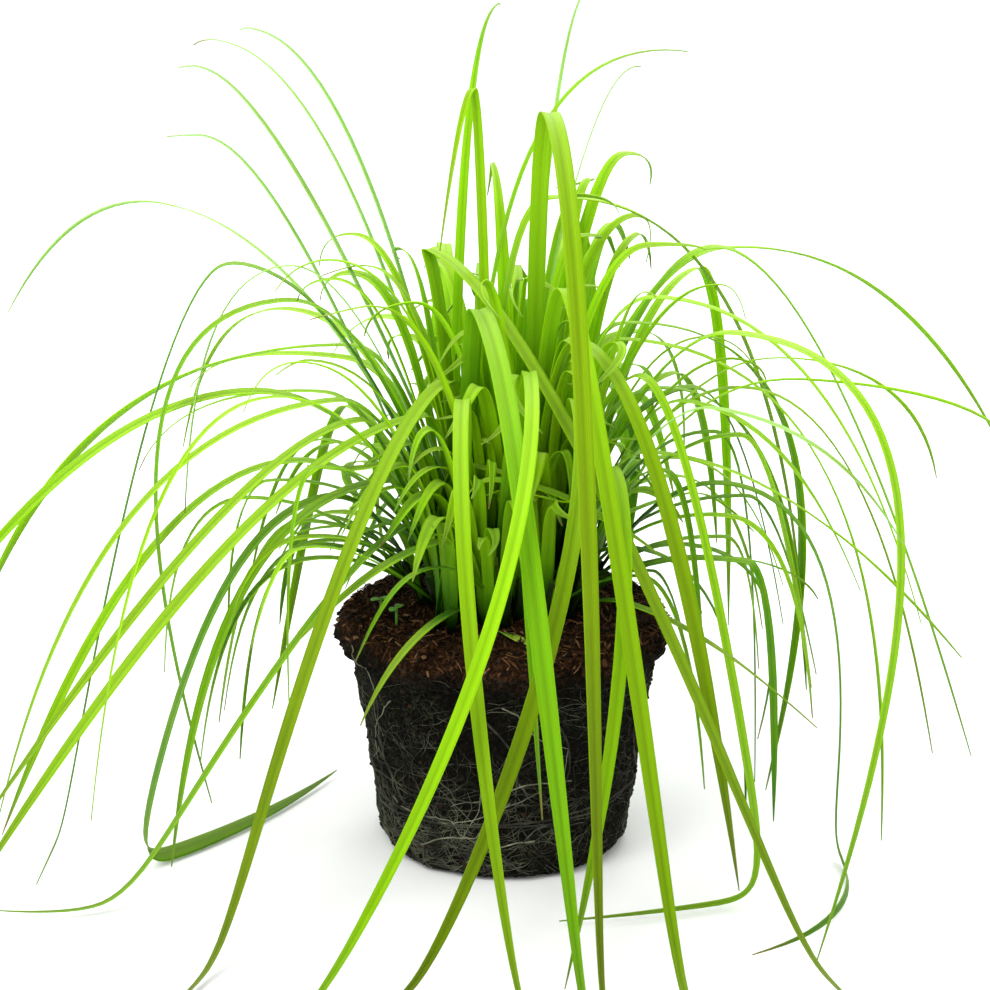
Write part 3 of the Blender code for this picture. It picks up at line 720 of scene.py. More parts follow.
# Veins across a blade, and the colours of its lit side and of its dry tip
VEINS = 11
SUNLIT = (0.40, 0.58, 0.08)
DRY_TIP = (0.20, 0.15, 0.045)


def leaf_finish(look):
    """Lime blades: painted shade at their feet, among the feet of the tuft and low down, a soft
    painted shade in their groove and down one half, a painted highlight where they face up, painted
    glare on thin ones, lighter edges, fine veins, some dry tips, and a tint of their own.
    """
    made = Finish(
        "leaf",
        Specular_IOR_Level=0.10,
        Specular_Tint=(0.80, 1.0, 0.45, 1.0),
        Subsurface_Weight=look.glow,
        Subsurface_Radius=(0.6, 1.0, 0.05),
        Subsurface_Scale=0.0015,
    )
    along, across, tint = made.value("along"), made.value("across"), made.value("tint")
    # Painted shade: each ramp stays darker from the foot up to about a third of the blade
    deep = blade_ramp(
        made,
        along,
        (0.15, (0.040, 0.170, 0.002)),
        (0.36, tuple(look.deep)),
        (0.85, tuple(look.deep)),
        (1.0, (0.10, 0.25, 0.03)),
    )
    lime = blade_ramp(
        made,
        along,
        (0.15, (0.120, 0.330, 0.002)),
        (0.34, tuple(look.lime)),
        (0.82, tuple(look.lime)),
        (1.0, (0.22, 0.40, 0.04)),
    )
    olive = blade_ramp(
        made,
        along,
        (0.15, (0.130, 0.300, 0.002)),
        (0.30, (0.220, 0.430, 0.004)),
        (0.52, tuple(look.olive)),
        (0.86, (0.150, 0.230, 0.002)),
        (1.0, (0.190, 0.200, 0.030)),
    )
    colour = made.mix(made.between(tint, 0.0, 0.5), deep, lime)
    colour = made.mix(made.between(tint, 0.5, 1.0), colour, olive)
    # Painted highlight: faces turned up are mixed towards a paler green
    sunny = made.between(made.facing_up(), 0.45, 0.95, 0.0, 0.40)
    colour = made.mix(sunny, colour, SUNLIT)
    # Painted glare on thin blades
    colour = made.mix(made.value("pale"), colour, tuple(look.pale))
    colour = made.mix(1.0, colour, heart_shade(made), "MULTIPLY")
    # Painted shade: darker in the groove and down one half of the blade; the edges are made lighter
    middle = made.math("ABSOLUTE", made.math("SUBTRACT", across, 0.5))
    groove = made.between(middle, 0.0, 0.22, 0.80, 1.0)
    edge = made.between(middle, 0.42, 0.5, 1.0, 1.14)
    half_shade = made.between(across, 0.44, 0.56, 0.93, 1.05)
    colour = made.shaded(colour, made.math("MULTIPLY", groove, made.math("MULTIPLY", edge, half_shade)))
    veins = made.math("SINE", made.math("MULTIPLY", across, math.tau * VEINS))
    streaks = made.grain(
        made.vector(
            made.math("MULTIPLY", across, 18.0),
            made.math("MULTIPLY", along, 5.0),
            made.math("MULTIPLY", tint, 40.0),
        ),
        1.0,
    )
    shade = made.between(streaks, 0.25, 0.75, 0.86, 1.12)
    colour = made.shaded(colour, made.math("ADD", shade, made.math("MULTIPLY", veins, 0.04)))
    blotches = made.grain(made.place(), 30.0, 2.0)
    colour = made.mix(made.between(blotches, 0.48, 0.75, 0.0, 0.4), colour, olive)
    tip = made.math("ADD", along, made.between(streaks, 0.3, 0.7, -0.03, 0.03))
    dry = made.math("MULTIPLY", made.between(tip, 0.95, 0.985), made.value("dry"))
    colour = made.mix(dry, colour, DRY_TIP)
    height = made.math("ADD", made.math("MULTIPLY", veins, 0.35), streaks)
    made.relief(height, 0.0002, 0.5)
    return made.colour(colour, made.between(streaks, 0.2, 0.8, 0.55, 0.40))


def soil_finish():
    """Black compost down the wall in a haze of hair roots, dark brown bark on top."""
    made = Finish("soil", Specular_IOR_Level=0.04)
    place = made.place()
    crumbs = made.grain(place, 520.0, 5.0, 0.75)
    patches = made.grain(place, 34.0, 3.0)
    wall = made.ramp(
        crumbs,
        (0.35, (0.0008, 0.0007, 0.0005)),
        (0.52, (0.0030, 0.0027, 0.0016)),
        (0.66, (0.0085, 0.0075, 0.0042)),
        (0.80, (0.0280, 0.0260, 0.0150)),
    )
    long_hairs, short_hairs = made.threads(place, 150.0, 0.016), made.threads(place, 330.0, 0.030)
    hairs = made.math("MAXIMUM", long_hairs, short_hairs)
    share = made.between(patches, 0.42, 0.66, 0.04, 0.60)
    wall = made.mix(made.math("MULTIPLY", hairs, share), wall, (0.052, 0.056, 0.034))
    top = made.ramp(
        crumbs,
        (0.34, (0.0030, 0.0018, 0.0010)),
        (0.50, (0.0180, 0.0080, 0.0036)),
        (0.62, (0.0680, 0.0280, 0.0110)),
        (0.78, (0.1800, 0.0820, 0.0340)),
    )
    ragged = made.between(patches, 0.3, 0.7, -0.006, 0.006)
    height = made.math("ADD", made.upward(place), ragged)
    flat = made.between(made.facing_up(), 0.0, 0.5, 0.45)
    brown = made.math("MULTIPLY", made.between(height, 0.090, 0.101), flat)
    made.relief(made.math("ADD", crumbs, made.lumps(place, 340.0)), 0.0012, 0.9)
    return made.colour(made.mix(brown, wall, top), made.between(crumbs, 0.3, 0.7, 0.98, 0.8))


def bark_finish(name, *browns):
    """Bits of bark or coir, each of its own brown, with a grain along them."""
    made = Finish(name, Specular_IOR_Level=0.08, Roughness=0.85)
    fibres = made.grain(made.place(), 900.0, 4.0, 0.7)
    last = len(browns) - 1
    colour = made.ramp(made.value("tint"), *((i / last, brown) for i, brown in enumerate(browns)))
    colour = made.shaded(colour, made.between(fibres, 0.3, 0.7, 0.5, 1.35))
    made.relief(fibres, 0.0006, 0.8)
    return made.colour(colour)


def root_finish(name, dark, pale):
    """Roots from brown to pale, stained by the compost."""
    made = Finish(name, Specular_IOR_Level=0.25, Roughness=0.75)
    stain = made.grain(made.place(), 90.0, 4.0, 0.6)
    fibres = made.grain(made.place(), 900.0, 2.0)
    colour = made.mix(made.between(stain, 0.40, 0.64), tuple(dark), tuple(pale))
    colour = made.shaded(colour, made.between(fibres, 0.3, 0.7, 0.7, 1.15))
    made.relief(fibres, 0.0003, 0.6)
    return made.colour(colour)


# Shapes


def collection():
    """The collection that holds the whole plant."""
    name = "carex_sedge"
    made = bpy.data.collections.get(name)
    if made is None:
        made = bpy.data.collections.new(name)
        bpy.context.scene.collection.children.link(made)
    return made


def piece(name, made, material, replaced=()):
    """A finished piece in metres from a mesh in millimetres, riding on the plant's one body."""
    bmesh.ops.scale(made, vec=(MM, MM, MM), verts=made.verts)
    mesh = bpy.data.meshes.new(name)
    made.to_mesh(mesh)
    made.free()
    mesh.shade_smooth()
    mesh.materials.append(material)
    obj = bpy.data.objects.new(name, mesh)
    collection().objects.link(obj)
    settle(obj, replaced)
    return obj


def settle(obj, replaced=()):
    """Ties a piece to the plant's body and hides the solids that it stands for."""
    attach(obj, "root")
    if replaced:
        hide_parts(*replaced)


def thicken(obj, thickness):
    """Gives a sheet its thickness, half on each side."""
    skin = obj.modifiers.new("Thickness", "SOLIDIFY")
    skin.thickness = thickness
    skin.offset = 0.0


def join(made, other, layers, **values):
    """Puts one mesh in work into another, with values of its own for the finish."""
    first = len(made.verts)
    mesh = bpy.data.meshes.new("joined")
    other.to_mesh(mesh)
    other.free()
    made.from_mesh(mesh)
    bpy.data.meshes.remove(mesh)
    made.verts.ensure_lookup_table()
    fresh = made.verts[first:]
    for v in fresh:
        for name, value in values.items():
            v[layers[name]] = value
    return fresh


def new_mesh(*names):
    """A mesh in work with a value of each name at every point."""
    made = bmesh.new()
    return made, {name: made.verts.layers.float.new(name) for name in names}


# Leaves

LEAF_VALUES = ("along", "across", "tint", "pale", "dry")

# A blade turns beyond this share of its length, and its groove is deeper near its foot
TWIST_FROM = 0.2
TWIST_POWER = 1.5
FOLD_AT_FOOT = 1.6
FOLD_LOST = 1.1
FOLD_LOST_BY = 3
GROOVE_SLOPE = 1.45
GROOVE_CURVE = 0.45
FOLDS = (0.26, 0.42)

# Ribs round a sheath, and where it stands on the colours of a blade
RIBS = 5
RIB_DEPTH = 0.2
SHEATH_ALONG = 0.05
SHEATH_ACROSS = 0.25
SHEATH_TINTS = (0.2, 0.6)

# Tints run from green by lime to olive: the usual one and its spread
OLIVE_TINT = (0.85, 0.18)
GREEN_TINT = (0.22, 0.10)
GREEN_SHARE = 0.22
HANGING_TINT = (0.34, 0.24)
UPRIGHT_TINT = (0.52, 0.12)
TALL_LEAF = 190.0
THIN_LEAF = 3.2
# Painted glare: thin blades are mixed this far towards a pale colour, as if washed out by bright
# light
THIN_GLARE = 0.5
DRY_SHARE = 0.2


def add_blade(made, layers, line, leaf, look, values, twist, fold):
    """One blade, from a flat grid along its line, folded to a groove and turned to its tip."""
    rows = rows_along(stations(line, look.segment / MM, look.fewest), leaf.heading)
    last = len(rows) - 1
    grid = bmesh.ops.create_grid(made, x_segments=last, y_segments=look.columns, size=1.0)
    for v in grid["verts"]:
        row = rows[round((v.co.x + 1) / 2 * last)]
        across = v.co.y
        half = width_at(row.share, leaf.width, look.tip / MM) / 2
        angle = twist * max(0.0, row.share - TWIST_FROM) ** TWIST_POWER
        turn = Matrix.Rotation(angle, 3, row.along)
        side, up = turn @ row.side, turn @ row.up
        depth = half * fold * (FOLD_AT_FOOT - FOLD_LOST * min(1.0, row.share * FOLD_LOST_BY))
        rise = depth * (GROOVE_SLOPE * abs(across) - GROOVE_CURVE * across * across - 1)
        v.co = row.place + side * (half * across) + up * rise
        v[layers["along"]] = row.share
        v[layers["across"]] = (across + 1) / 2
        for name, value in values.items():
            v[layers[name]] = value


def add_sheath(made, layers, root, tint, look):
    """The foot of a shoot, ribbed by the leaves round it and in the same painted shade as the foot
    of a blade.
    """
    foot = sheath(root, look.sheath_sides)
    axis = sheath_axis(root)
    for v in foot.verts:
        away = (v.co - root) - axis * (v.co - root).dot(axis)
        rib = abs(math.sin(RIBS / 2 * math.atan2(away.y, away.x) + root.x))
        v.co -= away * RIB_DEPTH * rib
    for v in join(made, foot, layers, across=SHEATH_ACROSS, tint=tint):
        v[layers["along"]] = (v.co - root).length / SHEATH_HEIGHT * SHEATH_ALONG


def leaf_values(leaf, draw):
    """Olive where a blade hangs in front, greener at the sides, lime upright, and paler if thin, as
    painted glare.
    """
    front = FRONT[0] < leaf.heading % 360 < FRONT[1]
    hanging = leaf.tip_up < 0
    if front and hanging and leaf.apex_up > TALL_LEAF:
        tint = 1.0
    elif front and hanging:
        tint = draw.gauss(*(GREEN_TINT if draw.random() < GREEN_SHARE else OLIVE_TINT))
    else:
        tint = draw.gauss(*(HANGING_TINT if hanging else UPRIGHT_TINT))
    pale = THIN_GLARE if leaf.width < THIN_LEAF else 0.0
    dry = float(draw.random() < DRY_SHARE)
    return {"tint": min(1.0, max(0.0, tint)), "pale": pale, "dry": dry}


# Young blades: the spread of their headings, ranges of their sizes, and what the rim changes
YOUNG_HEADING_SPREAD = 50.0
YOUNG_APEX_OUT = (6.0, 16.0)
YOUNG_APEX_UP = (75.0, 155.0)
YOUNG_BEYOND = (3.0, 20.0)
YOUNG_DROP = (0.0, 14.0)
YOUNG_WIDTH = (3.0, 7.2)
YOUNG_DRIFT = 4.0
YOUNG_LEAN = 0.4
YOUNG_REACH = 0.7
YOUNG_TWIST = 0.4
YOUNG_FOLD = 0.35
RIM_OUT = 24.0
RIM_DROP = 25.0

# Where a young blade looks for room: its steps, the height from which, and the fewest points
YOUNG_SEGMENT = 14.0
YOUNG_FOOT = 20.0
FEWEST_YOUNG_POINTS = 4

# Blades that stand out in the front of the heart: place, leaf
HEART_LEAVES = (
    ((-27, -33), Leaf(352, 4, 22, 74, 52, 92, 46, -6, 6.4, NO_TRAIL)),
    ((-24, -30), Leaf(196, 6, 18, 80, 30, 44, 52, 0, 7.0, NO_TRAIL)),
    ((-20, -36), Leaf(240, 6, 14, 62, 24, 34, 40, 0, 7.4, NO_TRAIL)),
)


def inner_leaf(root, draw):
    """A short young blade between the shoots, steeper in the middle of the crown."""
    outward = math.degrees(math.atan2(root.y, root.x))
    rim = math.hypot(root.x, root.y) / CROWN_RADIUS
    heading = (outward + draw.gauss(0, YOUNG_HEADING_SPREAD)) % 360
    apex_out = draw.uniform(*YOUNG_APEX_OUT) + RIM_OUT * rim * draw.random()
    apex_up = draw.uniform(*YOUNG_APEX_UP) - RIM_DROP * rim
    beyond = draw.uniform(*YOUNG_BEYOND)
    tip_up = apex_up - draw.uniform(*YOUNG_DROP)
    width = draw.uniform(*YOUNG_WIDTH)
    lean = apex_out * YOUNG_LEAN
    reach = apex_out + beyond * YOUNG_REACH
    drift = draw.gauss(0, YOUNG_DRIFT)
    tip_out = apex_out + beyond
    return Leaf(heading, lean, apex_out, apex_up, reach, tip_out, tip_up, drift, width, NO_TRAIL)


def young_root(place):
    """The root of a young blade, which starts just above the soil."""
    return place + Vector((0, 0, SOIL - BLADE_START + 1))


def inner_leaves(grown, look):
    """Young blades that find room between the grown shoots, above their close-set feet."""
    draw = random.Random(look.seed + 1)
    tuft = Tuft([root for root, _ in grown])
    for i, (_, leaves) in enumerate(grown):
        for leaf in leaves:
            points = stations(centreline(leaf, tuft.shoots[i]))
            tuft.hold(i, *loft(sections(points, leaf.heading, leaf.width)))
    tuft.tree = BVHTree.FromPolygons(tuft.verts, tuft.faces)
    found = []
    for _ in range(look.young_tries):
        out = CROWN_RADIUS * math.sqrt(draw.random())
        root = young_root(direction(draw.uniform(0, 360)) * out)
        leaf = inner_leaf(root, draw)
        points = stations(centreline(leaf, root), YOUNG_SEGMENT)
        points = [p for p in points if p.z > SOIL + YOUNG_FOOT]
        if len(points) < FEWEST_YOUNG_POINTS:
            continue
        verts, faces = loft(sections(points, leaf.heading, leaf.width))
        if BVHTree.FromPolygons(verts, faces).overlap(tuft.tree):
            continue
        tuft.hold(-1, verts, faces)
        tuft.tree = BVHTree.FromPolygons(tuft.verts, tuft.faces)
        found.append((root, leaf))
    return found + [(young_root(Vector((x, y, 0))), leaf) for (x, y), leaf in HEART_LEAVES]


class LeafSettings(bpy.types.PropertyGroup):
    """Sizes and colours of the blades."""

    sheet: FloatProperty(
        name="Thickness", description="Thickness of a blade", default=0.0004, unit="LENGTH"
    )
    tip: FloatProperty(
        name="Tip", description="Width of a blade's tip", default=0.00035, unit="LENGTH"
    )
    segment: FloatProperty(
        name="Segment", description="Length between rows of points", default=0.011, unit="LENGTH"
    )
    fewest: IntProperty(name="Rows", description="Fewest rows along a blade", default=12)
    columns: IntProperty(name="Columns", description="Faces across a blade", default=6)
    sheath_sides: IntProperty(name="Sheath sides", description="Sides of a sheath", default=25)
    young_tries: IntProperty(
        name="Young leaves", description="Tries at a young blade between the shoots", default=2600
    )
    twist: FloatProperty(
        name="Twist", description="Usual turn of a blade", default=0.7, subtype="ANGLE"
    )
    glow: FloatProperty(
        name="Glow", description="Share of light let through", default=0.35, subtype="FACTOR"
    )
    lime: FloatVectorProperty(
        name="Lime", description="Upright blades", default=(0.285, 0.575, 0.004), subtype="COLOR"
    )
    olive: FloatVectorProperty(
        name="Olive", description="Blades in front", default=(0.185, 0.31, 0.003), subtype="COLOR"
    )
    deep: FloatVectorProperty(
        name="Deep", description="Hanging blades", default=(0.085, 0.270, 0.004), subtype="COLOR"
    )
    # Painted glare: the pale colour that thin blades are mixed towards
    pale: FloatVectorProperty(
        name="Pale", description="Thin blades", default=(0.34, 0.56, 0.26), subtype="COLOR"
    )
    seed: IntProperty(name="Seed", description="Seed of tints and twists", default=3)


class SEDGE_OT_shoots(bpy.types.Operator):
    """Grow the blades of every shoot over its solid, and young ones between them"""

    bl_idname = "sedge.shoots"
    bl_label = "Leafy shoots"

    def execute(self, context):
        look = context.scene.sedge_leaves
        finish = leaf_finish(look)
        draw = random.Random(look.seed)
        grown = grow()
        solids = [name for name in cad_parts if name.startswith("shoot_")]
        if len(grown) != len(solids):
            raise RuntimeError(f"{len(grown)} shoots grew for {len(solids)} solids")
        for i, (root, leaves) in enumerate(grown):
            made, layers = new_mesh(*LEAF_VALUES)
            for leaf in leaves:
                line = centreline(leaf, root)
                values = leaf_values(leaf, draw)
                twist = draw.gauss(0, look.twist)
                fold = draw.uniform(*FOLDS)
                add_blade(made, layers, line, leaf, look, values, twist, fold)
            add_sheath(made, layers, root, draw.uniform(*SHEATH_TINTS), look)
            node = f"shoot_{i + 1:02d}"
            thicken(piece(f"leafy_{node}", made, finish, [node]), look.sheet)
        made, layers = new_mesh(*LEAF_VALUES)
        for root, leaf in inner_leaves(grown, look):
            values = leaf_values(leaf, draw) | {"pale": 0.0, "dry": 0.0}
            line = centreline(leaf, root)
            twist = draw.gauss(0, YOUNG_TWIST)
            add_blade(made, layers, line, leaf, look, values, twist, YOUNG_FOLD)
        thicken(piece("young_leaves", made, finish), look.sheet)
        return {"FINISHED"}


# Root ball


class SoilSettings(bpy.types.PropertyGroup):
    """Sizes of the root ball's crumbs, chips and shreds."""

    sides: IntProperty(name="Sides", description="Faces round the root ball", default=260)
    step: FloatProperty(
        name="Step", description="Height of a face of the root ball", default=0.0015, unit="LENGTH"
    )
    crumb: FloatProperty(
        name="Crumb relief", description="Height of the fine relief", default=0.0011, unit="LENGTH"
    )
    chips: IntProperty(name="Chips", description="Number of bark chips", default=300)
    shreds: IntProperty(name="Shreds", description="Number of coir shreds", default=1900)
    crumbs: IntProperty(name="Crumbs", description="Number of loose crumbs", default=900)
    seed: IntProperty(name="Seed", description="Seed of chips, shreds and crumbs", default=21)


BALL = "compost_ball"

# Lumps of compost and the grains in them, and how rough the collar, the soil and the wall are
LUMP_SIZE = 3.2
GRAIN_SIZE = 1.6
ROUGH_COLLAR = 1.7
ROUGH_SOIL = 1.3
ROUGH_WALL = 0.8


def fine_profile(step):
    """The outline of the root ball in short steps."""
    fine = []
    outline = ball_profile()
    for a, b in zip(outline, outline[1:]):
        count = max(1, round(math.dist(a, b) / step))
        for i in range(count):
            t = i / count
            fine.append((a[0] + (b[0] - a[0]) * t, a[1] + (b[1] - a[1]) * t))
    fine.append(outline[-1])
    return fine


def crumble(place):
    """Fine crumbs and pits of compost, from -1 to 1 at the most."""
    lump = noise.voronoi(place / LUMP_SIZE)[0][0]
    grain = noise.noise(place / GRAIN_SIZE)
    return 0.9 - 1.6 * lump + 0.5 * grain


def fine_ball(look):
    """The root ball with the source's bumps and a crumbly skin over them."""
    made = bmesh.new()
    corners = [made.verts.new((r, 0, z)) for r, z in fine_profile(look.step / MM)]
    edges = [made.edges.new(pair) for pair in zip(corners, corners[1:])]
    bmesh.ops.spin(
        made,
        geom=corners + edges,
        cent=(0, 0, 0),
        axis=(0, 0, 1),
        angle=math.tau,
        steps=look.sides,
        use_merge=True,
    )
    bmesh.ops.remove_doubles(made, verts=made.verts, dist=MERGE_DISTANCE)
    crumb = look.crumb / MM
    for v in made.verts:
        out = math.hypot(v.co.x, v.co.y)
        if v.co.z < TINY:
            continue
        rough = crumb * crumble(v.co)
        if v.co.z > COLLAR_PROFILE[-1][1] - TINY:
            v.co.z += bump(v.co, COLLAR_BUMP * SOIL_BUMP_SHARE) + rough * ROUGH_SOIL
            continue
        collar = v.co.z > WALL_TOP_HEIGHT + TINY
        height = COLLAR_BUMP if collar else WALL_BUMP
        away = Vector((v.co.x, v.co.y, 0)) / out
        v.co += away * (bump(v.co, height) + rough * (ROUGH_COLLAR if collar else ROUGH_WALL))
    bmesh.ops.recalc_face_normals(made, faces=made.faces)
    return made


class SEDGE_OT_root_ball(bpy.types.Operator):
    """Turn the root ball again with a crumbly skin"""

    bl_idname = "sedge.root_ball"
    bl_label = "Root ball"

    def execute(self, context):
        look = context.scene.sedge_soil
        piece(BALL, fine_ball(look), soil_finish(), ["root_ball"])
        return {"FINISHED"}


def ball_surface():
    """The finished root ball's surface, in millimetres, to lay things on."""
    mesh = bpy.data.objects[BALL].data
    verts = [v.co / MM for v in mesh.vertices]
    faces = [tuple(face.vertices) for face in mesh.polygons]
    return BVHTree.FromPolygons(verts, faces)


def lying(draw, surface, low, high):
    """A random place on the soil between two distances from the middle, and the way up there."""
    out = math.sqrt(draw.uniform(low**2, high**2))
    around = direction(draw.uniform(0, 360)) * out
    place, normal = surface.ray_cast(around + Vector((0, 0, 2 * SOIL)), Vector((0, 0, -1)))[:2]
    if place is None:
        raise RuntimeError("the soil has a hole in it")
    return place, normal


def clinging(draw, surface, low, high):
    """A random place on the side between two heights, and the way out there."""
    around = direction(draw.uniform(0, 360))
    start = around * 2 * COLLAR_RADIUS + Vector((0, 0, draw.uniform(low, high)))
    return surface.ray_cast(start, -around)[:2]


def jog(place):
    """A small shift in each direction that wanders with the place, the same at every run."""
    return Vector([noise.noise(place + Vector((apart, 0, 0))) for apart in JOGS_APART])


def scattered(draw, count, every, soil, side):
    """Places for small bits, with the way out there: on the soil, and one in a few on the side."""
    surface = ball_surface()
    for i in range(count):
        yield lying(draw, surface, *soil) if i % every else clinging(draw, surface, *side)


def laid(place, normal, draw, tilt):
    """The matrix that lays a flat thing at a place, turned and tilted at random."""
    spin = Matrix.Rotation(draw.uniform(0, math.tau), 4, "Z")
    tip = Matrix.Rotation(math.radians(draw.gauss(0, tilt)), 4, "Y")
    return Matrix.Translation(place) @ turned_to(normal) @ spin @ tip


# Bits on the soil: rings that they lie in, bands of the side that they cling to, and sizes
CHIP_RING = (12.0, 67.0)
CHIP_BAND = (97.0, 104.0)
CHIP_LENGTH = (1.2, 4.8)
CHIP_BREADTH = (0.25, 0.6)
CHIP_THICKNESS = (0.6, 1.5)
CHIP_BEVEL = 0.16
CHIP_WARP_SIZE = 3.0
CHIP_WARP = 0.7
CHIP_TILT = 22
CHIP_SHARP = math.radians(40)
SHRED_RING = (8.0, 69.0)
SHRED_BAND = (96.0, 104.0)
SHRED_LENGTH = (1.6, 7.5)
SHRED_BREADTH = (0.25, 1.1)
SHRED_RAISED = (0.0, 0.8)
SHRED_TILT = 8
SHRED_THICKNESS = 0.3
CRUMB_RING = (5.0, 69.0)
CRUMB_BAND = (4.0, 100.0)
CRUMB_SIZE = (0.4, 1.5)
CRUMB_WARP = 0.5
JOGS_APART = (0.0, 31.7, 67.3)
ON_THE_SIDE = 3
SHREDS_ON_THE_SIDE = 14


def chip(size, draw):
    """One flake of bark, from a cube with bevelled edges and jogged corners."""
    made = bmesh.new()
    bmesh.ops.create_cube(made, size=1.0)
    bmesh.ops.bevel(
        made,
        geom=made.edges[:],
        offset=CHIP_BEVEL,
        offset_type="OFFSET",
        affect="EDGES",
        segments=1,
        profile=0.5,
        material=-1,
    )
    bmesh.ops.scale(made, vec=size, verts=made.verts)
    offset = Vector([draw.uniform(0, 99) for _ in range(3)])
    for v in made.verts:
        v.co += jog(v.co / CHIP_WARP_SIZE + offset) * min(size) * CHIP_WARP
    return made


def shred(draw):
    """One bent shred of coir, a narrow sheet pointed at both ends."""
    made = bmesh.new()
    long, wide = draw.uniform(*SHRED_LENGTH), draw.uniform(*SHRED_BREADTH)
    sway, lift = draw.gauss(0, 0.12), draw.gauss(0.02, 0.05)
    bmesh.ops.create_grid(made, x_segments=4, y_segments=1, size=0.5)
    for v in made.verts:
        x, y = v.co.x, v.co.y
        narrow = 1 - (2 * x) ** 2 * 0.75
        bent = sway * long * x * x
        v.co = (x * long, y * wide * narrow + bent, lift * long * (0.25 - x * x) * 4)
    return made


class SEDGE_OT_bark(bpy.types.Operator):
    """Scatter bark chips over the soil and round its collar"""

    bl_idname = "sedge.bark"
    bl_label = "Bark chips"

    def execute(self, context):
        look = context.scene.sedge_soil
        draw = random.Random(look.seed)
        made, layers = new_mesh("tint")
        places = scattered(draw, look.chips, ON_THE_SIDE, CHIP_RING, CHIP_BAND)
        for place, normal in places:
            long = draw.uniform(*CHIP_LENGTH)
            wide = long * draw.uniform(*CHIP_BREADTH)
            flake = chip((long, wide, draw.uniform(*CHIP_THICKNESS)), draw)
            matrix = laid(place, normal, draw, CHIP_TILT)
            bmesh.ops.transform(flake, matrix=matrix, verts=flake.verts)
            join(made, flake, layers, tint=draw.random() ** 1.6)
        browns = (
            (0.003, 0.002, 0.001),
            (0.012, 0.006, 0.003),
            (0.036, 0.015, 0.007),
            (0.085, 0.038, 0.015),
            (0.260, 0.140, 0.066),
        )
        obj = piece("bark_chips", made, bark_finish("bark", *browns))
        obj.data.set_sharp_from_angle(angle=CHIP_SHARP)
        return {"FINISHED"}


class SEDGE_OT_shreds(bpy.types.Operator):
    """Strew shreds of coir over the soil and the rim of its collar"""

    bl_idname = "sedge.shreds"
    bl_label = "Coir shreds"

    def execute(self, context):
        look = context.scene.sedge_soil
        draw = random.Random(look.seed + 2)
        made, layers = new_mesh("tint")
        places = scattered(draw, look.shreds, SHREDS_ON_THE_SIDE, SHRED_RING, SHRED_BAND)
        for place, normal in places:
            strip = shred(draw)
            raised = place + normal * draw.uniform(*SHRED_RAISED)
            matrix = laid(raised, normal, draw, SHRED_TILT)
            bmesh.ops.transform(strip, matrix=matrix, verts=strip.verts)
            join(made, strip, layers, tint=draw.random() ** 1.4)
        browns = (
            (0.006, 0.003, 0.002),
            (0.030, 0.012, 0.005),
            (0.060, 0.025, 0.009),
            (0.105, 0.046, 0.018),
            (0.210, 0.115, 0.055),
        )
        obj = piece("coir_shreds", made, bark_finish("coir", *browns))
        thicken(obj, SHRED_THICKNESS * MM)
        return {"FINISHED"}


class SEDGE_OT_crumbs(bpy.types.Operator):
    """Scatter crumbs of compost over the soil and the wall"""

    bl_idname = "sedge.crumbs"
    bl_label = "Soil crumbs"

    def execute(self, context):
        look = context.scene.sedge_soil
        draw = random.Random(look.seed + 1)
        made, layers = new_mesh("tint")
        places = scattered(draw, look.crumbs, ON_THE_SIDE, CRUMB_RING, CRUMB_BAND)
        for place, _ in places:
            size = draw.uniform(*CRUMB_SIZE)
            crumb = bmesh.new()
            bmesh.ops.create_icosphere(crumb, subdivisions=1, radius=size)
            for v in crumb.verts:
                v.co += jog(v.co + place) * size * CRUMB_WARP
            bmesh.ops.translate(crumb, vec=place, verts=crumb.verts)
            join(made, crumb, layers, tint=draw.random())
        browns = ((0.002, 0.0015, 0.001), (0.008, 0.006, 0.004), (0.03, 0.016, 0.008))
        piece("soil_crumbs", made, bark_finish("compost", *browns))
        return {"FINISHED"}


# Roots


class RootSettings(bpy.types.PropertyGroup):
    """Sizes and colours of the roots."""

    fine: IntProperty(name="Fine roots", description="Number of fine roots", default=330)
    radius: FloatProperty(
        name="Fine radius", description="Radius of a fine root", default=0.00013, unit="LENGTH"
    )
    matted: IntProperty(
        name="Matted roots", description="Number of roots matted at the heel", default=210
    )
    dark: FloatVectorProperty(
        name="Dark", description="Stained roots", default=(0.012, 0.012, 0.007), subtype="COLOR"
    )
    pale: FloatVectorProperty(
        name="Pale", description="Fresh roots", default=(0.100, 0.104, 0.066), subtype="COLOR"
    )
    seed: IntProperty(name="Seed", description="Seed of the fine roots", default=8)


# Coarse roots of the net: their radius, how much thinner they end, and steps for each long one
COARSE_RADIUS = ROOT_RADIUS * 0.7
COARSE_TAPER = 0.55
FINER = 3

# A wandering root: length of a step, chance and size of a kink, and the lowest height
STRIDE = 2.0
KINK_CHANCE = 0.08
KINK = 0.7
LOWEST_ROOT = 1.5
BRANCH_CHANCE = 0.4
MAT_SIDE = (235.0, 32.0)


def tubes(name, lines, material, replaced=(), resolution=0):
    """A curve piece with a round root along each line of points and radii."""
    data = bpy.data.curves.new(name, "CURVE")
    data.dimensions = "3D"
    data.bevel_depth = MM
    data.bevel_resolution = resolution
    data.use_fill_caps = True
    for line in lines:
        spline = data.splines.new("POLY")
        spline.points.add(len(line) - 1)
        for point, (place, radius) in zip(spline.points, line):
            point.co = (*(place * MM), 1.0)
            point.radius = radius
    data.materials.append(material)
    obj = bpy.data.objects.new(name, data)
    collection().objects.link(obj)
    settle(obj, replaced)


def on_wall(surface, outward, z):
    """The place on the finished wall at a height, on one side."""
    start = outward * COLLAR_RADIUS * OUTSIDE_BALL + Vector((0, 0, z))
    return surface.ray_cast(start, -outward)[0]


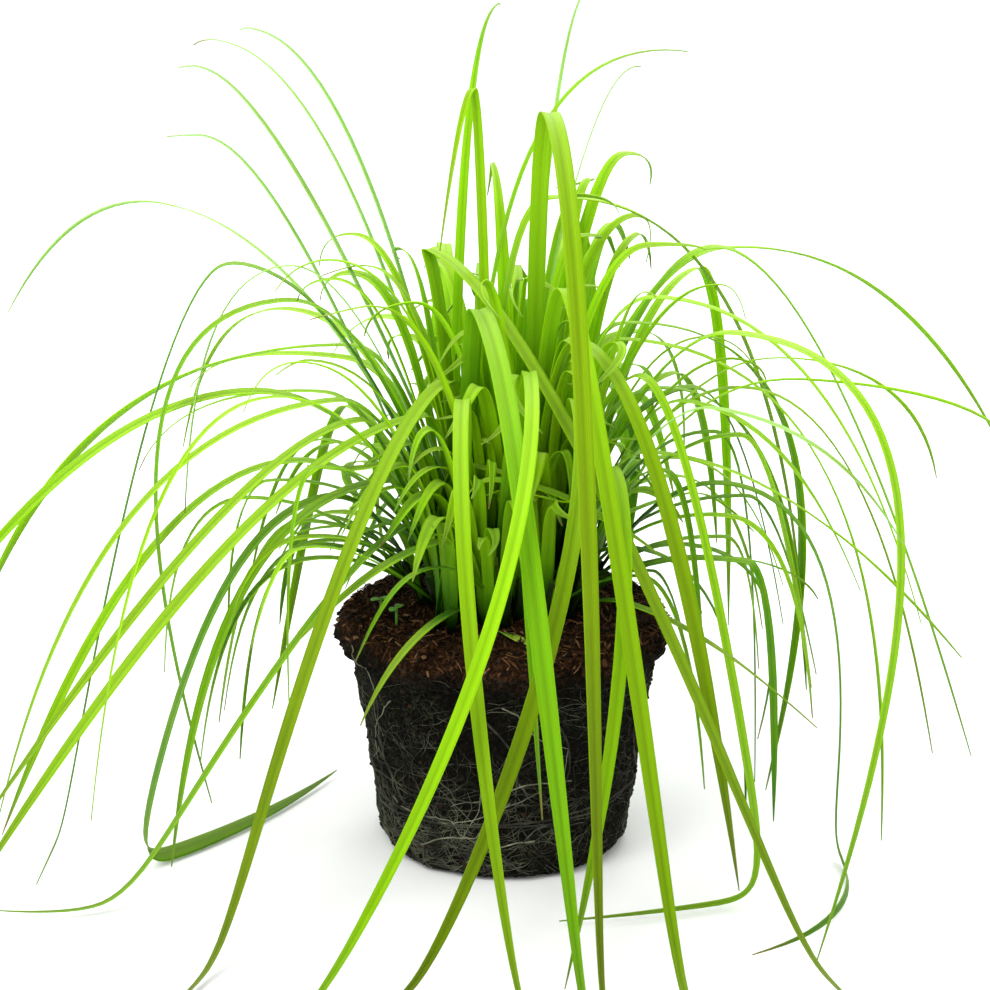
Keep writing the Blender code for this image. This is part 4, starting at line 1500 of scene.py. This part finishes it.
def root_line(surface, angle_at, height_at, steps):
    """Points and radii of a root over the wall, read from the fine surface."""
    line = []
    for i in range(steps + 1):
        t = i / steps
        outward = direction(angle_at(t))
        thin = COARSE_RADIUS * (1 - COARSE_TAPER * t)
        line.append((on_wall(surface, outward, height_at(t)) + outward * thin * 0.6, thin))
    return line


def coarse_roots(surface):
    """The roots of the source's net: circling ones crossed by falling ones."""
    draw = random.Random(ROOT_SEED)
    lines = []
    for low, rise, first, turns in CIRCLING_ROOTS:
        wobble = draw.uniform(0, math.tau)
        waves = CIRCLING_WAVES * turns
        steps = FINER * int(turns * math.tau * HEEL_RADIUS / ROOT_STEP)
        lines.append(
            root_line(
                surface,
                lambda t: first + 360 * turns * t,
                lambda t: low + rise * t + CIRCLING_SWAY * math.sin(wobble + waves * t),
                steps,
            )
        )
    for i in range(FALLING_ROOTS):
        first = 360 * (i + draw.uniform(-FALLING_PLACE, FALLING_PLACE)) / FALLING_ROOTS
        swing = draw.uniform(-FALLING_SWING, FALLING_SWING)
        wave = draw.uniform(*FALLING_WAVE)
        phase = draw.uniform(0, math.tau)
        steps = FINER * int((ROOT_START - ROOT_END) / ROOT_STEP * FALLING_SLACK)
        lines.append(
            root_line(
                surface,
                lambda t: first + swing * t + wave * math.sin(phase + FALLING_WAVES * t),
                lambda t: ROOT_START + (ROOT_END - ROOT_START) * t,
                steps,
            )
        )
    return lines


def wandering_root(surface, draw, start, course, wander, count, thick):
    """A root from a place on the wall that wanders on, with a kink now and then."""
    angle, z = start
    course = math.radians(course)
    bend = draw.gauss(0, 0.4 * wander)
    line = []
    for i in range(count):
        course += bend + draw.gauss(0, wander)
        if draw.random() < KINK_CHANCE:
            course += draw.gauss(0, KINK)
        angle += math.degrees(STRIDE * math.cos(course) / HEEL_RADIUS)
        z += STRIDE * math.sin(course)
        if not LOWEST_ROOT < z < COLLAR_PROFILE[-1][1] - STRIDE:
            break
        outward = direction(angle)
        raised = outward * thick * draw.uniform(0.4, 1.6)
        line.append((on_wall(surface, outward, z) + raised, thick * (1 - 0.7 * i / count)))
    return line


def fine_roots(surface, look):
    """Thin roots all over the wall, some with a branch, and a mat of them round the heel."""
    draw = random.Random(look.seed)
    radius = look.radius / MM
    lines = []
    for _ in range(look.fine):
        start = (draw.uniform(0, 360), draw.uniform(6, WALL_TOP_HEIGHT))
        course = draw.choice((draw.gauss(-90, 35), draw.gauss(0, 35), draw.gauss(180, 35)))
        count = draw.randint(12, 44)
        thick = radius * draw.uniform(0.5, 1.5)
        lines.append(wandering_root(surface, draw, start, course, 0.16, count, thick))
        if draw.random() < BRANCH_CHANCE:
            side = course + draw.choice((-50, 50))
            lines.append(wandering_root(surface, draw, start, side, 0.2, count // 2, thick * 0.7))
    for _ in range(look.matted):
        start = (draw.gauss(*MAT_SIDE), abs(draw.gauss(0, 14)) + 3)
        course = draw.choice((0, 180)) + draw.gauss(0, 28)
        thick = radius * draw.uniform(0.7, 2.3)
        lines.append(wandering_root(surface, draw, start, course, 0.2, draw.randint(10, 32), thick))
    return [line for line in lines if len(line) > 3]


# Roots that stand out in the front of the wall: angle and height of the start, course, steps
STANDING_OUT = (
    (203.0, 99.0, -62.0, 22),
    (222.0, 80.0, -85.0, 20),
    (267.0, 84.0, 2.0, 36),
    (262.0, 60.0, -100.0, 22),
    (300.0, 46.0, 170.0, 26),
    (213.0, 32.0, -25.0, 30),
    (228.0, 12.0, 20.0, 26),
    (238.0, 26.0, -10.0, 24),
    (285.0, 20.0, 175.0, 28),
)


class SEDGE_OT_roots(bpy.types.Operator):
    """Lay the roots over the wall of the root ball"""

    bl_idname = "sedge.roots"
    bl_label = "Roots"

    def execute(self, context):
        look = context.scene.sedge_roots
        surface = ball_surface()
        dark, pale = Vector(look.dark), Vector(look.pale)
        coarse = root_finish("coarse roots", dark * 0.6, dark.lerp(pale, 0.35))
        tubes("root_net", coarse_roots(surface), coarse, ["surface_roots"], 1)
        tubes("fine_roots", fine_roots(surface, look), root_finish("fine roots", dark, pale))
        draw = random.Random(look.seed + 1)
        lines = []
        for angle, z, course, count in STANDING_OUT:
            thick = draw.uniform(0.28, 0.42)
            lines.append(wandering_root(surface, draw, (angle, z), course, 0.07, count, thick))
        tubes("pale_roots", lines, root_finish("pale roots", pale, pale * 2.2), (), 1)
        return {"FINISHED"}


# Small growth on the soil


# A seed leaf: how narrow, how thick and how far bent down
SEED_LEAF_NARROW = 0.85
SEED_LEAF_HALF = 0.35
SEED_LEAF_BEND = 0.5


class SEDGE_OT_seedlings(bpy.types.Operator):
    """Make the two seedlings that came up on the soil"""

    bl_idname = "sedge.seedlings"
    bl_label = "Seedlings"

    def execute(self, context):
        finish = Finish("seedling", Roughness=0.5, Specular_IOR_Level=0.2)
        tone = finish.ramp(
            finish.grain(finish.place(), 500.0),
            (0.3, (0.07, 0.20, 0.020)),
            (0.7, (0.14, 0.34, 0.040)),
        )
        finish.colour(tone)
        for index, ((x, y), height, heading) in enumerate(SEEDLINGS):
            made = seedling_stem(x, y, height, 0.0)
            soil = soil_height(math.hypot(x, y))
            top = Vector((x, y, soil + height - SEEDLING_LEAF_THICKNESS / 2))
            for turn in (0, 180):
                ahead = direction(heading + turn) * SEEDLING_LEAF
                side = direction(heading + turn + 90) * SEEDLING_LEAF * SEED_LEAF_NARROW
                leaf = bmesh.ops.create_uvsphere(made, u_segments=14, v_segments=7, radius=1.0)
                for v in leaf["verts"]:
                    out, across, up = v.co
                    v.co = top + ahead * (1 + out) + side * across
                    v.co.z += SEED_LEAF_HALF * up - SEED_LEAF_BEND * out * out
            node = f"seedling_{index + 1}"
            piece(f"sprout_{index + 1}", made, finish.material, [node])
        return {"FINISHED"}


# A torn piece of leaf on the soil, and the yellowed stub of a cut one: root, leaf
SCRAPS = {
    "leaf_scrap": ((-6.0, -37.0, SOIL - 7.0), Leaf(322, 2, 4, 11, 12, 20, 8, 0, 7.5, NO_TRAIL)),
    "leaf_stub": ((-4.0, -27.0, SOIL - 8.0), Leaf(250, 2, 5, 52, 8, 10, 54, 0, 4.6, NO_TRAIL)),
}
SCRAP_TWIST = 0.9
SCRAP_FOLD = 0.3


class SEDGE_OT_scraps(bpy.types.Operator):
    """Lay a torn piece of leaf on the soil and stand the stub of a cut leaf"""

    bl_idname = "sedge.scraps"
    bl_label = "Leaf scraps"

    def execute(self, context):
        look = context.scene.sedge_leaves
        finish = Finish("cut leaf", Roughness=0.55, Specular_IOR_Level=0.2)
        blotches = finish.between(finish.grain(finish.place(), 300.0), 0.3, 0.7, -0.1, 0.1)
        # Dark low down as painted shade, and yellowed towards the tip as the cut leaf's own colour
        tone = finish.ramp(
            finish.math("ADD", finish.value("along"), blotches),
            (0.10, (0.010, 0.030, 0.002)),
            (0.50, (0.080, 0.180, 0.005)),
            (0.78, (0.300, 0.420, 0.040)),
            (0.95, (0.500, 0.540, 0.130)),
        )
        finish.colour(tone)
        for name, (root, leaf) in SCRAPS.items():
            made, layers = new_mesh(*LEAF_VALUES)
            line = centreline(leaf, Vector(root))
            values = {"tint": 1.0, "pale": 0.0, "dry": 0.0}
            add_blade(made, layers, line, leaf, look, values, SCRAP_TWIST, SCRAP_FOLD)
            thicken(piece(name, made, finish.material), look.sheet)
        return {"FINISHED"}


# Stage


class StageSettings(bpy.types.PropertyGroup):
    """The camera and the light."""

    lens: FloatProperty(name="Lens", description="Focal length", default=95.0)
    distance: FloatProperty(
        name="Distance", description="From the target to the camera", default=1.10, unit="LENGTH"
    )
    elevation: FloatProperty(
        name="Elevation",
        description="Height of the camera as an angle",
        default=math.radians(17.2),
        subtype="ANGLE",
    )
    target: FloatVectorProperty(
        name="Target", description="What the camera looks at", default=(-0.004, 0.0, 0.154)
    )
    sky: FloatProperty(name="Sky", description="Strength of the light all round", default=1.2)
    key: FloatProperty(name="Key", description="Power of the main light", default=28.0)
    back: FloatProperty(name="Back", description="Power of the light behind", default=18.0)


FLOOR_RADIUS = 14.0
LIGHT_SIZE = 1.2
KEY_PLACE = (-0.8, -1.2, 1.7)
BACK_PLACE = (0.5, 1.3, 1.5)


def area_light(name, place, aim, power):
    data = bpy.data.lights.new(name, "AREA")
    data.shape = "DISK"
    data.size = LIGHT_SIZE
    data.energy = power
    obj = bpy.data.objects.new(name, data)
    obj.location = place
    obj.rotation_euler = (Vector(aim) - Vector(place)).to_track_quat("-Z", "Y").to_euler()
    bpy.context.scene.collection.objects.link(obj)


class SEDGE_OT_stage(bpy.types.Operator):
    """Set up the floor, the studio light and the camera"""

    bl_idname = "sedge.stage"
    bl_label = "Stage"

    def execute(self, context):
        scene = context.scene
        look = scene.sedge_stage
        made = bmesh.new()
        bmesh.ops.create_circle(made, cap_ends=True, segments=96, radius=FLOOR_RADIUS)
        mesh = bpy.data.meshes.new("floor")
        made.to_mesh(mesh)
        made.free()
        paper = Finish("paper", Roughness=0.9, Specular_IOR_Level=0.1)
        grain = paper.grain(paper.place(), 30.0)
        tone = paper.ramp(grain, (0.3, (0.92, 0.92, 0.92)), (0.7, (0.94, 0.94, 0.94)))
        mesh.materials.append(paper.colour(tone))
        floor = bpy.data.objects.new("floor", mesh)
        scene.collection.objects.link(floor)
        floor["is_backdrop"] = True
        world = bpy.data.worlds.new("studio")
        world.use_nodes = True
        sky = world.node_tree.nodes["Background"]
        sky.inputs["Color"].default_value = (1.0, 1.0, 1.0, 1.0)
        sky.inputs["Strength"].default_value = look.sky
        scene.world = world
        aim = tuple(look.target)
        area_light("key", KEY_PLACE, aim, look.key)
        area_light("back", BACK_PLACE, aim, look.back)
        data = bpy.data.cameras.new("camera")
        data.lens = look.lens
        data.sensor_width = 36.0
        camera = bpy.data.objects.new("camera", data)
        toward = Vector((0, -math.cos(look.elevation), math.sin(look.elevation)))
        camera.location = Vector(look.target) + toward * look.distance
        camera.rotation_euler = (-toward).to_track_quat("-Z", "Y").to_euler()
        scene.collection.objects.link(camera)
        scene.camera = camera
        scene.view_settings.view_transform = "Standard"
        return {"FINISHED"}


class SEDGE_PT_panel(bpy.types.Panel):
    """Lists the sedge's pieces and settings"""

    bl_label = "Carex Sedge"
    bl_idname = "SEDGE_PT_panel"
    bl_space_type = "VIEW_3D"
    bl_region_type = "UI"
    bl_category = "Sedge"

    def draw(self, context):
        for operator in OPERATORS:
            self.layout.operator(operator.bl_idname)
        for name, group in SETTINGS.items():
            box = self.layout.box()
            box.label(text=group.__doc__)
            for prop in group.__annotations__:
                box.prop(getattr(context.scene, name), prop)


SETTINGS = {
    "sedge_leaves": LeafSettings,
    "sedge_soil": SoilSettings,
    "sedge_roots": RootSettings,
    "sedge_stage": StageSettings,
}
OPERATORS = (
    SEDGE_OT_root_ball,
    SEDGE_OT_bark,
    SEDGE_OT_shreds,
    SEDGE_OT_crumbs,
    SEDGE_OT_roots,
    SEDGE_OT_shoots,
    SEDGE_OT_seedlings,
    SEDGE_OT_scraps,
    SEDGE_OT_stage,
)


def register():
    for name, group in SETTINGS.items():
        bpy.utils.register_class(group)
        setattr(bpy.types.Scene, name, PointerProperty(type=group))
    for operator in OPERATORS:
        bpy.utils.register_class(operator)
    bpy.utils.register_class(SEDGE_PT_panel)


def unregister():
    bpy.utils.unregister_class(SEDGE_PT_panel)
    for operator in reversed(OPERATORS):
        bpy.utils.unregister_class(operator)
    for name, group in SETTINGS.items():
        delattr(bpy.types.Scene, name)
        bpy.utils.unregister_class(group)


def main():
    register()
    bpy.ops.sedge.root_ball()
    bpy.ops.sedge.bark()
    bpy.ops.sedge.shreds()
    bpy.ops.sedge.crumbs()
    bpy.ops.sedge.roots()
    bpy.ops.sedge.shoots()
    bpy.ops.sedge.seedlings()
    bpy.ops.sedge.scraps()
    bpy.ops.sedge.stage()
    boxes = {"cad": CAD_BOX, "scene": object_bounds()}
    {name: [list(corner) for corner in box] for name, box in boxes.items()}


if __name__ == "__main__":
    main()
